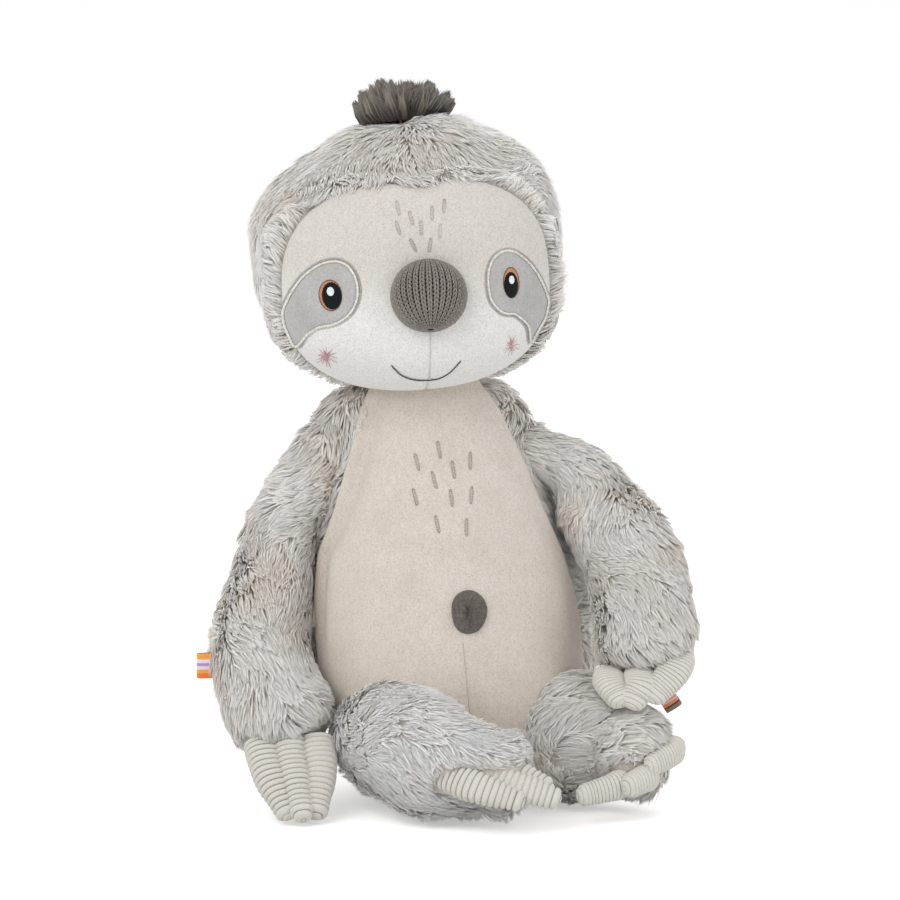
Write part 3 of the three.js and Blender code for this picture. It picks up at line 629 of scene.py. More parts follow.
class Sheet:
    """A material's nodes, added and joined one at a time."""

    def __init__(self, name: str) -> None:
        """Starts a material with a bare principled shader."""
        self.material = bpy.data.materials.new(name)
        self.material.use_nodes = True
        self.tree = self.material.node_tree
        self.shader = self.tree.nodes["Principled BSDF"]

    def add(self, kind: str, **values: object) -> bpy.types.Node:
        """Adds a node and sets its properties."""
        node = self.tree.nodes.new(kind)
        for key, value in values.items():
            setattr(node, key, value)
        return node

    def put(self, value: Socket | Rgba | float, end: Socket) -> None:
        """Gives an input a value: an output that is joined to it, or a plain number or colour."""
        if isinstance(value, Socket):
            self.tree.links.new(value, end)
        else:
            end.default_value = value

    def stretched(self, place: Socket, scale: Trio) -> Socket:
        """Coordinates, stretched by a scale."""
        mapping = self.add("ShaderNodeMapping")
        self.put(scale, mapping.inputs["Scale"])
        self.put(place, mapping.inputs["Vector"])
        return mapping.outputs["Vector"]

    def places(self, scale: Trio = (1, 1, 1)) -> Socket:
        """Object coordinates, stretched by a scale."""
        return self.stretched(self.add("ShaderNodeTexCoord").outputs["Object"], scale)

    def lay(self) -> Socket:
        """The piece's own pattern coordinates."""
        return self.add("ShaderNodeUVMap", uv_map=LAY).outputs["UV"]

    def part(self, place: Socket, axis: str) -> Socket:
        """One coordinate of a place."""
        split = self.add("ShaderNodeSeparateXYZ")
        self.put(place, split.inputs["Vector"])
        return split.outputs[axis]

    def carried(self, name: str) -> Socket:
        """A value that the mesh carries at its points."""
        return self.add("ShaderNodeAttribute", attribute_name=name).outputs["Fac"]

    def noise(self, where: Socket, scale: float, detail: float = 2.0, rough: float = 0.5) -> Socket:
        """A noise value at some places."""
        node = self.add("ShaderNodeTexNoise")
        self.put(scale, node.inputs["Scale"])
        self.put(detail, node.inputs["Detail"])
        self.put(rough, node.inputs["Roughness"])
        self.put(where, node.inputs["Vector"])
        return node.outputs["Fac"]

    def ramp(self, value: Socket, stops: Stops, blend: str = "LINEAR") -> Socket:
        """A colour read off a ramp."""
        node = self.add("ShaderNodeValToRGB")
        ramp = node.color_ramp
        ramp.interpolation = blend
        while len(ramp.elements) < len(stops):
            ramp.elements.new(0.5)
        for element, (at, colour) in zip(ramp.elements, stops):
            element.position = at
            element.color = colour
        self.put(value, node.inputs["Fac"])
        return node.outputs["Color"]

    def share(self, value: Socket, low: float, high: float, top: float = 1.0) -> Socket:
        """How far a value has passed from a low one to a high one, times a top share."""
        return self.ramp(value, [(low, (0, 0, 0, 1)), (high, (top, top, top, 1))])

    def mixed(
        self, share: Socket | float, first: Socket | Rgba, second: Socket | Rgba, blend: str = "MIX"
    ) -> Socket:
        """A blend of two colours."""
        node = self.add("ShaderNodeMix", data_type="RGBA", blend_type=blend)
        for place, value in ((0, share), (6, first), (7, second)):
            self.put(value, node.inputs[place])
        return node.outputs[2]

    def toned(self, colour: Socket, value: Socket, low: float, high: float, dark: tuple) -> Socket:
        """A colour times a dark tone where a value is low, left as it is where the value is high."""
        return self.mixed(1.0, colour, self.ramp(value, [(low, (*dark, 1)), (high, WHITE)]), "MULTIPLY")

    def surface(self, colour: Socket | Rgba, rough: float, sheen: float, gloss: float) -> None:
        """Sets the shader's colour and its plain numbers."""
        for value, name in (
            (colour, "Base Color"),
            (rough, "Roughness"),
            (gloss, "Specular IOR Level"),
            (sheen, "Sheen Weight"),
            (0.5, "Sheen Roughness"),
        ):
            self.put(value, self.shader.inputs[name])

    def bump(self, height: Socket, depth: float, strength: float) -> None:
        """Gives the surface a fine relief of a depth in metres."""
        node = self.add("ShaderNodeBump")
        self.put(strength, node.inputs["Strength"])
        self.put(depth, node.inputs["Distance"])
        self.put(height, node.inputs["Height"])
        self.put(node.outputs["Normal"], self.shader.inputs["Normal"])


@dataclass(frozen=True)
class PlushPile:
    """Long soft pile: pale at the tip, darker at the root and warmer where ruffled, both partly its own tone
    and partly painted shade deep in the pile.
    """

    name: str = "plush_pile"
    root: Rgb = (218, 210, 200)
    middle: Rgb = (240, 235, 229)
    tip: Rgb = (248, 245, 240)
    warm_tone_and_parting_shade: Rgb = (240, 229, 217)
    through: float = 0.6

    def made(self) -> Material:
        """Builds the material."""
        sheet = Sheet(self.name)
        # Darker towards the root: partly the fur's own paler tips, partly painted shade deep in the pile.
        stops = [(0.0, linear(self.root)), (0.4, linear(self.middle)), (0.85, linear(self.tip))]
        length = sheet.ramp(sheet.part(sheet.lay(), "Y"), stops)
        drift = sheet.share(sheet.noise(sheet.places(), 26), 0.42, 0.75, 0.5)
        # The warm tint where the pile is ruffled is partly the roots' own tone and partly painted shade in
        # the partings; the drift is tone that differs at random.
        tint_and_parting_shade = sheet.mixed(1.0, drift, sheet.share(sheet.carried("ruffle"), 0, 1, 0.5), "ADD")
        colour = sheet.mixed(tint_and_parting_shade, length, linear(self.warm_tone_and_parting_shade), "MULTIPLY")
        colour = sheet.toned(colour, sheet.carried("shade"), 0.0, 0.7, (0.9, 0.895, 0.885))
        sheet.surface(colour, 0.85, 0.2, 0.1)
        sheet.put(self.through, sheet.shader.inputs["Subsurface Weight"])
        sheet.put((1.0, 0.94, 0.88), sheet.shader.inputs["Subsurface Radius"])
        sheet.put(3 * MM, sheet.shader.inputs["Subsurface Scale"])
        return sheet.material


@dataclass(frozen=True)
class Velour:
    """Short brushed pile: a fine grain, slow changes of tone and a soft sheen."""

    name: str
    colour: Rgb
    second: Rgb
    low: float | None = None
    high: float | None = None
    grain: float = 0.0006

    def made(self) -> Material:
        """Builds the material, its colour passing from second to colour between two heights."""
        sheet = Sheet(self.name)
        colour, second = linear(self.colour), linear(self.second)
        if self.low is not None and self.high is not None:
            place = sheet.add("ShaderNodeTexCoord").outputs["Object"]
            height = sheet.add("ShaderNodeMapRange", interpolation_type="SMOOTHSTEP")
            sheet.put(self.low * MM, height.inputs["From Min"])
            sheet.put(self.high * MM, height.inputs["From Max"])
            sheet.put(sheet.part(place, "Z"), height.inputs["Value"])
            colour = sheet.mixed(height.outputs["Result"], second, colour)
        else:
            patches = sheet.share(sheet.noise(sheet.places(), 60, 3), 0.35, 0.7)
            colour = sheet.mixed(patches, colour, second)
        fine = sheet.noise(sheet.places(), 1150, 2, 0.6)
        nap = sheet.noise(sheet.places((1, 1, 0.45)), 420, 2, 0.6)
        colour = sheet.toned(colour, fine, 0.3, 0.6, (0.79, 0.785, 0.78))
        colour = sheet.toned(colour, nap, 0.3, 0.6, (0.95, 0.945, 0.94))
        sheet.surface(colour, 0.85, 0.35, 0.15)
        sheet.bump(sheet.mixed(0.5, fine, nap), self.grain, 0.8)
        return sheet.material


@dataclass(frozen=True)
class Thread:
    """Embroidery thread: a twist along its length and a slight shine."""

    name: str
    colour: Rgb
    second: Rgb | None = None
    rough: float = 0.5
    gloss: float = 0.4

    def made(self) -> Material:
        """Builds the material."""
        sheet = Sheet(self.name)
        spots = sheet.noise(sheet.places(), 900)
        other = self.second or tuple(max(0, int(c * 0.86)) for c in self.colour)
        colour = sheet.mixed(sheet.share(spots, 0.35, 0.65), linear(self.colour), linear(other))
        sheet.surface(colour, self.rough, 0.02, self.gloss)
        sheet.bump(spots, 0.15 * MM, 0.5)
        return sheet.material


@dataclass(frozen=True)
class Yarn:
    """Knitting yarn: fine fibres twisted along each stitch, darker in the hollows."""

    name: str
    pale: Rgb
    dark: Rgb
    grain: float = 700.0

    def made(self) -> Material:
        """Builds the material."""
        sheet = Sheet(self.name)
        fibres = sheet.noise(sheet.places(), self.grain, 3, 0.7)
        colour = sheet.mixed(sheet.share(fibres, 0.3, 0.7), linear(self.dark), linear(self.pale))
        twist = sheet.noise(sheet.stretched(sheet.lay(), (2, 9, 1)), 1.6)
        colour = sheet.toned(colour, twist, 0.3, 0.6, (0.78, 0.77, 0.76))
        sheet.surface(colour, 0.9, 0.2, 0.1)
        sheet.bump(fibres, 0.3 * MM, 0.7)
        return sheet.material


@dataclass(frozen=True)
class Wale:
    """Corduroy: the ribs are in the mesh, this gives them their brushed nap and painted shade in the hollows
    between them.
    """

    name: str = "cream_corduroy"
    colour: Rgb = (213, 209, 201)
    # The valley colour is painted shade for the hollows between the ribs.
    valley: Rgb = (122, 115, 105)

    def made(self) -> Material:
        """Builds the material, darker where the shade of a point is low: painted shade in the hollows between
        the ribs.
        """
        sheet = Sheet(self.name)
        depth = sheet.share(sheet.carried("shade"), 0.05, 0.5)
        colour = sheet.mixed(depth, linear(self.valley), linear(self.colour))
        nap = sheet.noise(sheet.places(), 900, 3, 0.65)
        colour = sheet.toned(colour, nap, 0.3, 0.62, (0.9, 0.89, 0.88))
        sheet.surface(colour, 0.88, 0.3, 0.15)
        sheet.bump(nap, 0.4 * MM, 0.8)
        return sheet.material


@dataclass(frozen=True)
class WovenStripes:
    """A woven ribbon with stripes across its width and a fine weave."""

    name: str
    stops: tuple[tuple[float, Rgb], ...]

    def made(self) -> Material:
        """Builds the material: stripes by the pattern's first coordinate."""
        sheet = Sheet(self.name)
        stops = [(at, linear(colour)) for at, colour in self.stops]
        stripes = sheet.ramp(sheet.part(sheet.lay(), "X"), stops, "CONSTANT")
        weave = sheet.add("ShaderNodeTexChecker")
        sheet.put(34, weave.inputs["Scale"])
        sheet.put(WHITE, weave.inputs["Color1"])
        sheet.put((0.82, 0.82, 0.82, 1), weave.inputs["Color2"])
        sheet.put(sheet.stretched(sheet.lay(), (1, 1.4, 1)), weave.inputs["Vector"])
        colour = sheet.mixed(1.0, stripes, weave.outputs["Color"], "MULTIPLY")
        sheet.surface(colour, 0.55, 0.1, 0.4)
        sheet.bump(weave.outputs["Fac"], 0.2 * MM, 0.5)
        return sheet.material


# The toy's parts


@dataclass
class Head:
    """The head: a broad rounded form with a fuller muzzle, a velour face and a fur hood."""

    at: Trio = (-30, 0, 297)
    half: Trio = (87, 74, 72)
    fullness: float = 2.35
    roll: float = math.radians(-3.3)
    low_fullness: float = 0.4
    brow_slope: float = 0.38
    jaw_slope: float = 0.22
    crown_out: float = 3.6
    crown_aim: Trio = (0.16, -0.1, 1)
    muzzle_out: float = 10
    bell_spread: float = 0.55
    muzzle_aim: Trio = (0, -0.8, -0.6)
    backing: float = 7.5
    edge_backing: float = 3.0
    face_half: Trio = (75.5, 71.5, 58.5)
    face_z: float = -14
    face_fullness: float = 2.5
    face_back: float = -22
    dip: float = 4
    dip_width: float = 14
    outline_scale: float = 29
    cloth: float = 3.5
    hood_grid: tuple[int, int] = (110, 140)
    face_grid: tuple[int, int] = (120, 92)
    nose_half: Trio = (19.6, 16.5, 19)
    nose_at: Trio = (0, -81, -17)
    patch_right: tuple = (
        (-72.3, -22.2), (-70.5, -17.9), (-68.2, -13.2), (-65.5, -9.1), (-62.2, -4.9), (-57.9, -1.2),
        (-54.3, 1.0), (-51.1, 2.2), (-47.2, 2.8), (-43.7, 2.2), (-40.7, 0.4), (-38.4, -2.7),
        (-36.9, -6.4), (-36.2, -10.8), (-36.5, -15.3), (-37.7, -19.3), (-39.9, -23.3), (-43.0, -26.5),
        (-46.3, -28.7), (-49.8, -30.2), (-53.7, -31.0), (-56.8, -31.9), (-60.0, -34.0), (-62.7, -36.5),
        (-65.1, -40.5), (-67.4, -43.1), (-70.0, -37.9), (-72.1, -31.7), (-72.9, -26.0),
    )
    patch_left: tuple = (
        (44.3, 1.9), (40.5, 1.4), (37.1, -0.7), (34.9, -3.6), (33.3, -7.7), (32.7, -12.2), (32.8, -17.0),
        (33.6, -22.1), (35.8, -25.9), (38.8, -29.1), (42.2, -30.7), (46.1, -31.3), (49.5, -33.8),
        (52.6, -36.8), (54.6, -40.1), (55.4, -44.0), (56.1, -48.4), (57.9, -45.8), (60.7, -41.6),
        (63.9, -37.3), (65.6, -32.8), (66.6, -28.3), (65.5, -23.6), (63.8, -19.1), (61.7, -14.5),
        (59.1, -10.1), (56.2, -6.2), (52.5, -2.5), (48.8, 0.5),
    )
    eyes: tuple = (((-48.9, -15.0), (4.8, 7.2)), ((44.7, -15.9), (3.9, 6.8)))
    irises: tuple = (((-49.6, -14.8), (5.5, 7.9)), ((45.0, -14.8), (4.3, 7.9)))
    glints: tuple = (((-49.2, -12.7), (1.8, 2.35)), ((44.9, -13.3), (1.5, 2.2)))
    mouth: tuple = (
        (-20.1, -54.2), (-18.0, -56.6), (-15.7, -59.2), (-12.5, -61.2), (-9.3, -62.6), (-5.5, -63.5),
        (-1.7, -63.8), (1.5, -63.8), (4.6, -63.5), (7.7, -62.2), (10.8, -60.0), (13.3, -57.3), (15.9, -54.1),
    )
    cheeks: tuple = ((-52.8, -48.4, 6.8), (44.5, -48.6, 6.4))
    brow: tuple = (
        (-12.2, 28.8, 4), (-5.9, 23.3, 10), (-1.1, 17.9, -2), (5.4, 25.1, -6), (12.1, 28.2, -10),
        (-13.1, 18.7, 14), (8.8, 15.6, -8), (-6.0, 9.4, 22), (2.9, 8.8, -12),
    )

    def reach(self, aim: Array) -> Array:
        """Distance from the middle to the surface: a superellipsoid plus two bells, muzzle and crown."""
        up, down = aim[..., 2], -aim[..., 2]
        power = self.fullness + self.low_fullness * eased(down, 0.05, 0.6)
        slope = self.brow_slope * eased(up, 0.1, 0.6) + self.jaw_slope * eased(down, 0.2, 0.7)
        power = power - slope * eased(-aim[..., 0], 0.05, 0.6)
        total = np.sum(np.abs(aim / np.array(self.half)) ** power[..., None], axis=-1)
        muzzle, crown = (
            bell(np.arccos(np.clip(aim @ unit(np.array(way, float)), -1, 1)), 0, self.bell_spread)
            for way in (self.muzzle_aim, self.crown_aim)
        )
        return total ** (-1 / power) + self.muzzle_out * muzzle + self.crown_out * crown

    def placed(self, local: Array) -> Array:
        """Turns the head's own coordinates into the toy's: a roll about Y, then a shift."""
        c, s = math.cos(self.roll), math.sin(self.roll)
        x, y, z = local[..., 0], local[..., 1], local[..., 2]
        return np.stack([x * c + z * s, y, z * c - x * s], axis=-1) + np.array(self.at)

    def aimed(self, psi: Array, gamma: Array) -> Array:
        """Directions at an angle gamma from the face's middle, turned psi from straight up."""
        middle = unit(np.array([0.0, -1.0, -0.12]))
        up = unit(np.array([0.0, 0.0, 1.0]) - middle[2] * middle)
        right = np.cross(up, middle)
        ring = up * np.cos(psi)[..., None] + right * np.sin(psi)[..., None]
        return middle * np.cos(gamma)[..., None] + ring * np.sin(gamma)[..., None]

    def beyond_face(self, local: Array) -> Array:
        """Above 0 outside the face panel's outline, below 0 inside it."""
        x, y, z = local[..., 0], local[..., 1], local[..., 2]
        dip = self.dip * bell(x, 0, self.dip_width) * (z > self.face_z)
        wide = np.where(x < 0, self.face_half[0], self.face_half[1])
        oval = np.abs(x / wide) ** self.face_fullness
        oval = oval + np.abs((z + dip - self.face_z) / self.face_half[2]) ** self.face_fullness - 1
        return np.maximum(oval, (y - self.face_back) / 30)

    def away(self, local: Array) -> Array:
        """About how many millimetres a point lies outside the face panel's outline."""
        return self.beyond_face(local) * self.outline_scale

    def seam(self, psi: Array) -> Array:
        """The angle at which the face panel ends, found by halving the gap forty times."""
        low, high = np.full(psi.shape, 0.3), np.full(psi.shape, 2.2)
        for _ in range(40):
            middle = (low + high) / 2
            aim = self.aimed(psi, middle)
            outside = self.beyond_face(aim * self.reach(aim)[..., None]) > 0
            high, low = np.where(outside, middle, high), np.where(outside, low, middle)
        return (low + high) / 2

    def surface(self, aim: Array, grow: Array | float) -> Array:
        """The surface in the head's own frame, moved out by an amount."""
        return aim * (self.reach(aim) + grow)[..., None]

    def front(self, x: Array, z: Array, grow: float = 0.0) -> Array:
        """Points on the front of the face at places seen from straight ahead."""
        x, z = np.asarray(x, float), np.asarray(z, float)
        low, high = np.full(x.shape, -110.0), np.full(x.shape, 8.0)
        for _ in range(36):
            y = (low + high) / 2
            p = np.stack([x, y, z], axis=-1)
            r = np.linalg.norm(p, axis=-1)
            outside = r > self.reach(p / r[..., None]) + grow
            low, high = np.where(outside, y, low), np.where(outside, high, y)
        return np.stack([x, high, z], axis=-1)

    def front_normal(self, x: Array, z: Array) -> Array:
        """Outward directions on the front of the face, in the head's own frame."""
        step = 0.6
        p = self.front(x, z)
        across = self.front(np.asarray(x) + step, z) - p
        return facing_ahead(across, self.front(x, np.asarray(z) + step) - p)

    def turned(self, local: Array) -> Array:
        """Turns directions, without the shift."""
        return self.placed(local) - np.array(self.at)

    def on_face(self, x: Array, z: Array, lift: Array) -> tuple[Array, Array]:
        """Points a height above the velour and the way it faces, in the toy's coordinates."""
        facing = self.front_normal(x, z)
        return self.placed(self.front(x, z) + facing * lift[..., None]), self.turned(facing)

    def leaving(self, local: Array) -> Array:
        """The direction, seen from the front, in which the face panel's edge is left behind."""
        step = 0.5
        here = self.beyond_face(local)
        across = self.beyond_face(local + np.array([step, 0, 0])) - here
        upward = self.beyond_face(local + np.array([0, 0, step])) - here
        return unit(np.stack([across, np.full_like(across, 1e-6), upward], axis=-1))

    def skin(self) -> Skin:
        """The backing that the hood's pile grows on: it rises to the face's edge.

        The pile is combed down from the crown, and near the face it lies away from it.
        """
        rows, cols = self.hood_grid
        gamma = np.linspace(0.02, math.pi - 0.02, rows)[:, None]
        psi = np.linspace(0, TAU, cols, endpoint=False)[None, :]
        aim = self.aimed(psi + 0 * gamma, gamma + 0 * psi)
        lumps = 2.2 * Wander(7, 1).at(aim * 80, 26)[..., 0]
        flat = self.surface(aim, 0.0)
        away = self.away(flat)
        rise = eased(away, -1.5, 1.0) * (1 - eased(away, 2.0, 14.0))
        raised = (self.backing - self.edge_backing) * rise
        local = self.surface(aim, lumps * (1 - rise) - self.backing + raised)
        x, y = local[..., 0] + 4, local[..., 1]
        down = -0.4 - 0.3 * bell(x, 0, 26)
        comb = np.stack([0.9 * np.tanh(x / 26), 0.6 * np.tanh((y + 14) / 16), down], axis=-1)
        middle = bell(flat[..., 0], 0, 13) * (flat[..., 2] > 0)
        edge = np.exp(-np.clip(away, 0, 99) / 9) * (1 - 1.6 * middle)
        return Skin(self.placed(local), self.turned(comb + self.leaving(flat) * edge[..., None]))

    def face_half_form(self, side: int) -> Form:
        """One velour half of the face: a panel whose rim and middle seam turn in.

        Args:
            side: 1 for the toy's left half, -1 for its right.

        Returns:
            The panel as a closed cloth.
        """
        rows, cols = self.face_grid
        rim_depth, rim_width, arc = 3.6, 1.9, 78
        seam_depth, seam_width = 1.3, 0.75
        psi = math.pi * (1 - np.cos(math.pi * np.linspace(0, 1, rows))) / 2 * side
        edge = self.seam(psi)
        gamma = edge[:, None] * (1 - (1 - np.linspace(0, 1, cols)) ** 1.5)[None, :]
        aim = self.aimed(psi[:, None] + 0 * gamma, gamma)
        flat = self.surface(aim, 0.0)
        roll = rim_depth * np.exp(-((edge[:, None] - gamma) * arc) / rim_width)
        below = 1 / (1 + np.exp((flat[..., 2] + 18) / 4))
        seam = seam_depth * below * np.exp(-((np.abs(flat[..., 0]) / seam_width) ** 1.3))
        lumps = 0.5 * Wander(11, 1).at(flat, 26)[..., 0]
        grids = self.surface(aim, lumps - roll - seam), self.surface(aim, -self.cloth - 3.0)
        for grid in grids:
            grid[..., 0] = np.where(np.abs(flat[..., 0]) < 0.02, side * 0.01, grid[..., 0])
        uv = np.stack([flat[..., 0], flat[..., 2]], axis=-1) / 100
        return shell_form(*(self.placed(grid) for grid in grids), uv)

    def patch_form(self, corners: tuple) -> Form:
        """The grey cloth round one eye: a disc stretched to the outline, its rim turned in."""
        count, turned_in = 160, -1.2
        outline = closed_line(np.array(corners), count)
        middle = outline.mean(0)
        share = np.sqrt(np.linspace(0, 1, 40))[::-1]
        flat = middle + share[:, None, None] * (outline - middle)[None]
        front = self.lifted(flat, np.broadcast_to((1 - share**14)[:, None], flat.shape[:2]))
        low = np.full((1, count), turned_in)
        rim = self.lifted(flat[:1], low)
        behind = self.lifted(middle + 0.02 * (outline - middle)[None], low)
        return tube_form(np.concatenate([behind, rim, front])[::-1])

    def lifted(self, flat: Array, lift: Array) -> Array:
        """Points above the face at flat places, in the toy's coordinates."""
        return self.on_face(flat[..., 0], flat[..., 1], lift)[0]

    def border(self, corners: tuple, offset: float, spacing: float, slant: float, thread: tuple) -> Form:
        """Short stitches side by side round an outline, none where it meets the hood's seam.

        Args:
            corners: The outline's corners.
            offset: How far outside the outline the stitches' middles lie.
            spacing: Distance between stitches.
            slant: How far a stitch leans, in radians from square.
            thread: Half a stitch's length, half the thread's width and its height above the velour.

        Returns:
            The stitches.
        """
        reach, radius, lift = thread
        first = closed_line(np.array(corners), 200)
        total = np.sum(np.linalg.norm(np.roll(first, -1, axis=0) - first, axis=1))
        line = closed_line(np.array(corners), int(total / spacing))
        along = unit(np.roll(line, -1, axis=0) - np.roll(line, 1, axis=0))
        out = np.stack([along[:, 1], -along[:, 0]], axis=1)
        if np.mean(np.sum(out * (line - line.mean(0)), axis=1)) < 0:
            out = -out
        aim = out * math.cos(slant) + along * math.sin(slant)
        middle = line + out * offset
        depth = self.front(middle[:, 0], middle[:, 1])[:, 1]
        open_edge = self.away(np.stack([middle[:, 0], depth, middle[:, 1]], axis=1)) < -1.5
        middle, aim = middle[open_edge], aim[open_edge]
        s = np.linspace(-1, 1, 5)
        flat = middle[:, None] + aim[:, None] * (s * reach)[None, :, None]
        height = lift + 0.35 * (1 - s**2) * min(1.0, reach)
        path = self.lifted(flat, np.broadcast_to(height, flat.shape[:2]))
        return threads(path, self.turned(self.front_normal(middle[:, 0], middle[:, 1])), radius)

    def eye_form(self, at: Pair, half: Pair, lift: float, dome: float, angle: float) -> Form:
        """A disc of satin stitches: a low dome with a ridge for each thread."""
        count, stitch = 96, 0.5
        turn = np.linspace(0, TAU, count, endpoint=False)
        share = np.sqrt(np.linspace(0, 1, 34))[::-1, None]
        x, z = share * np.cos(turn)[None] * half[0], share * np.sin(turn)[None] * half[1]
        across = x * math.cos(angle) + z * math.sin(angle)
        ridge = 0.1 * np.abs(np.sin(math.pi * across / stitch))
        ragged = 1 + 0.02 * np.sin(turn * 23)[None] * (share**6)
        flat = np.stack([at[0] + x * ragged, at[1] + z * ragged], axis=-1)
        rise = np.sqrt(np.clip(1 - share**2, 0, 1)) ** 0.5
        front = self.lifted(flat, lift + (dome + ridge) * rise)
        sunk = np.full((1, count), lift - 1.0)
        low = self.lifted(flat[:1], sunk)
        middle = self.lifted(flat[-1:] * 0.98 + 0.02 * flat[:1], sunk)
        return tube_form(np.concatenate([middle, low, front])[::-1])

    def line_form(self, corners: Array, stitch: float, radius: float, lift: float) -> Form:
        """A line of stem stitches that overlap like the strands of a cord."""
        line = along_line(corners, stitch)
        start, aim = line[:-1], line[1:] - line[:-1]
        out = unit(np.stack([aim[:, 1], -aim[:, 0]], axis=1))
        s = np.linspace(-0.28, 1.28, 6)
        slip = (radius * 0.5 * (s - 0.5))[None, :, None]
        flat = start[:, None] + aim[:, None] * s[None, :, None] + out[:, None] * slip
        height = lift + 0.18 * np.sin(np.clip(s, 0, 1) * math.pi)
        path = self.lifted(flat, np.broadcast_to(height, flat.shape[:2]))
        return threads(path, self.turned(self.front_normal(start[:, 0], start[:, 1])), radius, 6)

    def star_form(self, at: tuple, inner: bool, seed: int) -> Form:
        """A cheek: straight stitches of uneven length that cross near its middle.

        Args:
            at: The cheek's middle and its reach.
            inner: Whether these are its shorter and thicker inner stitches.
            seed: Source of the unevenness.

        Returns:
            The stitches.
        """
        rng = np.random.default_rng(seed)
        count, share, radius = (11, 0.62, 0.2) if inner else (13, 1.0, 0.15)
        turn = np.linspace(0, TAU, count, endpoint=False) + rng.uniform(-0.14, 0.14, count)
        reach = at[2] * rng.uniform(0.7, 1.15, count) * share
        s = np.linspace(0.04, 1, 5)
        x = at[0] + np.cos(turn)[:, None] * reach[:, None] * s * 0.82
        z = at[1] + np.sin(turn)[:, None] * reach[:, None] * s * 1.12
        height = 0.12 + 0.22 * np.sin(s * math.pi) + 0.12 * inner
        path = self.lifted(np.stack([x, z], -1), np.broadcast_to(height, x.shape))
        return threads(path, self.turned(self.front_normal(x[:, 2], z[:, 2])), radius)


@dataclass
class KnitBall:
    """The nose: a ball covered in stocking stitch whose columns gather at two poles."""

    centre: Array
    half: Trio
    columns: int = 33
    rows: int = 24
    yarn: float = 0.62
    tip: float = math.radians(24)
    knit_span: Pair = (-1.47, 1.36)

    def point(self, lon: Array, lat: Array, lift: Array | float) -> Array:
        """A place on the ball: longitude and latitude about an axis tipped towards the front."""
        p = np.stack([np.cos(lat) * np.sin(lon), -np.cos(lat) * np.cos(lon), np.sin(lat)], axis=-1)
        c, s = math.cos(self.tip), math.sin(self.tip)
        y, z = p[..., 1] * c + p[..., 2] * s, p[..., 2] * c - p[..., 1] * s
        p = np.stack([p[..., 0], y, z], axis=-1)
        return p * (np.array(self.half) + np.asarray(lift)[..., None])

    def core(self) -> Form:
        """The dark ball under the stitches, its colour painted shade that shows in the gaps between them."""
        lat = np.linspace(-math.pi / 2 + 0.02, math.pi / 2 - 0.02, 40)[:, None]
        lon = np.linspace(0, TAU, 64, endpoint=False)[None, :]
        return tube_form(self.point(lon + 0 * lat, lat + 0 * lon, -0.9 + 0 * (lon + lat)) + self.centre)

    def stitches(self) -> Form:
        """Every leg of every stitch: a short bent thread from the column's edge to its middle."""
        edges = np.linspace(*self.knit_span, self.rows + 1)
        wide, row = TAU / self.columns, edges[1] - edges[0]
        legs = np.meshgrid(np.arange(self.columns), np.arange(self.rows), np.array([-1, 1]), indexing="ij")
        c, r, leg = (values.ravel() for values in legs)
        s = np.linspace(0, 1, 5)[None, :]
        lat = edges[r][:, None] + row * (1.32 * (1 - s) - 0.1)
        off = leg[:, None] * wide * (0.12 + 0.27 * np.sin((1 - s) * math.pi * 0.5))
        lift = -0.45 + 0.62 * np.sin(math.pi * (0.12 + 0.8 * s))
        path = self.point(c[:, None] * wide + off, lat, lift)
        pinch = np.clip(np.cos(edges[r] + row / 2) * 1.25, 0.35, 1.0)
        form = threads(path, unit(path[:, 2]), self.yarn * pinch, 4)
        return Form(form.points + self.centre, form.faces, form.uv)

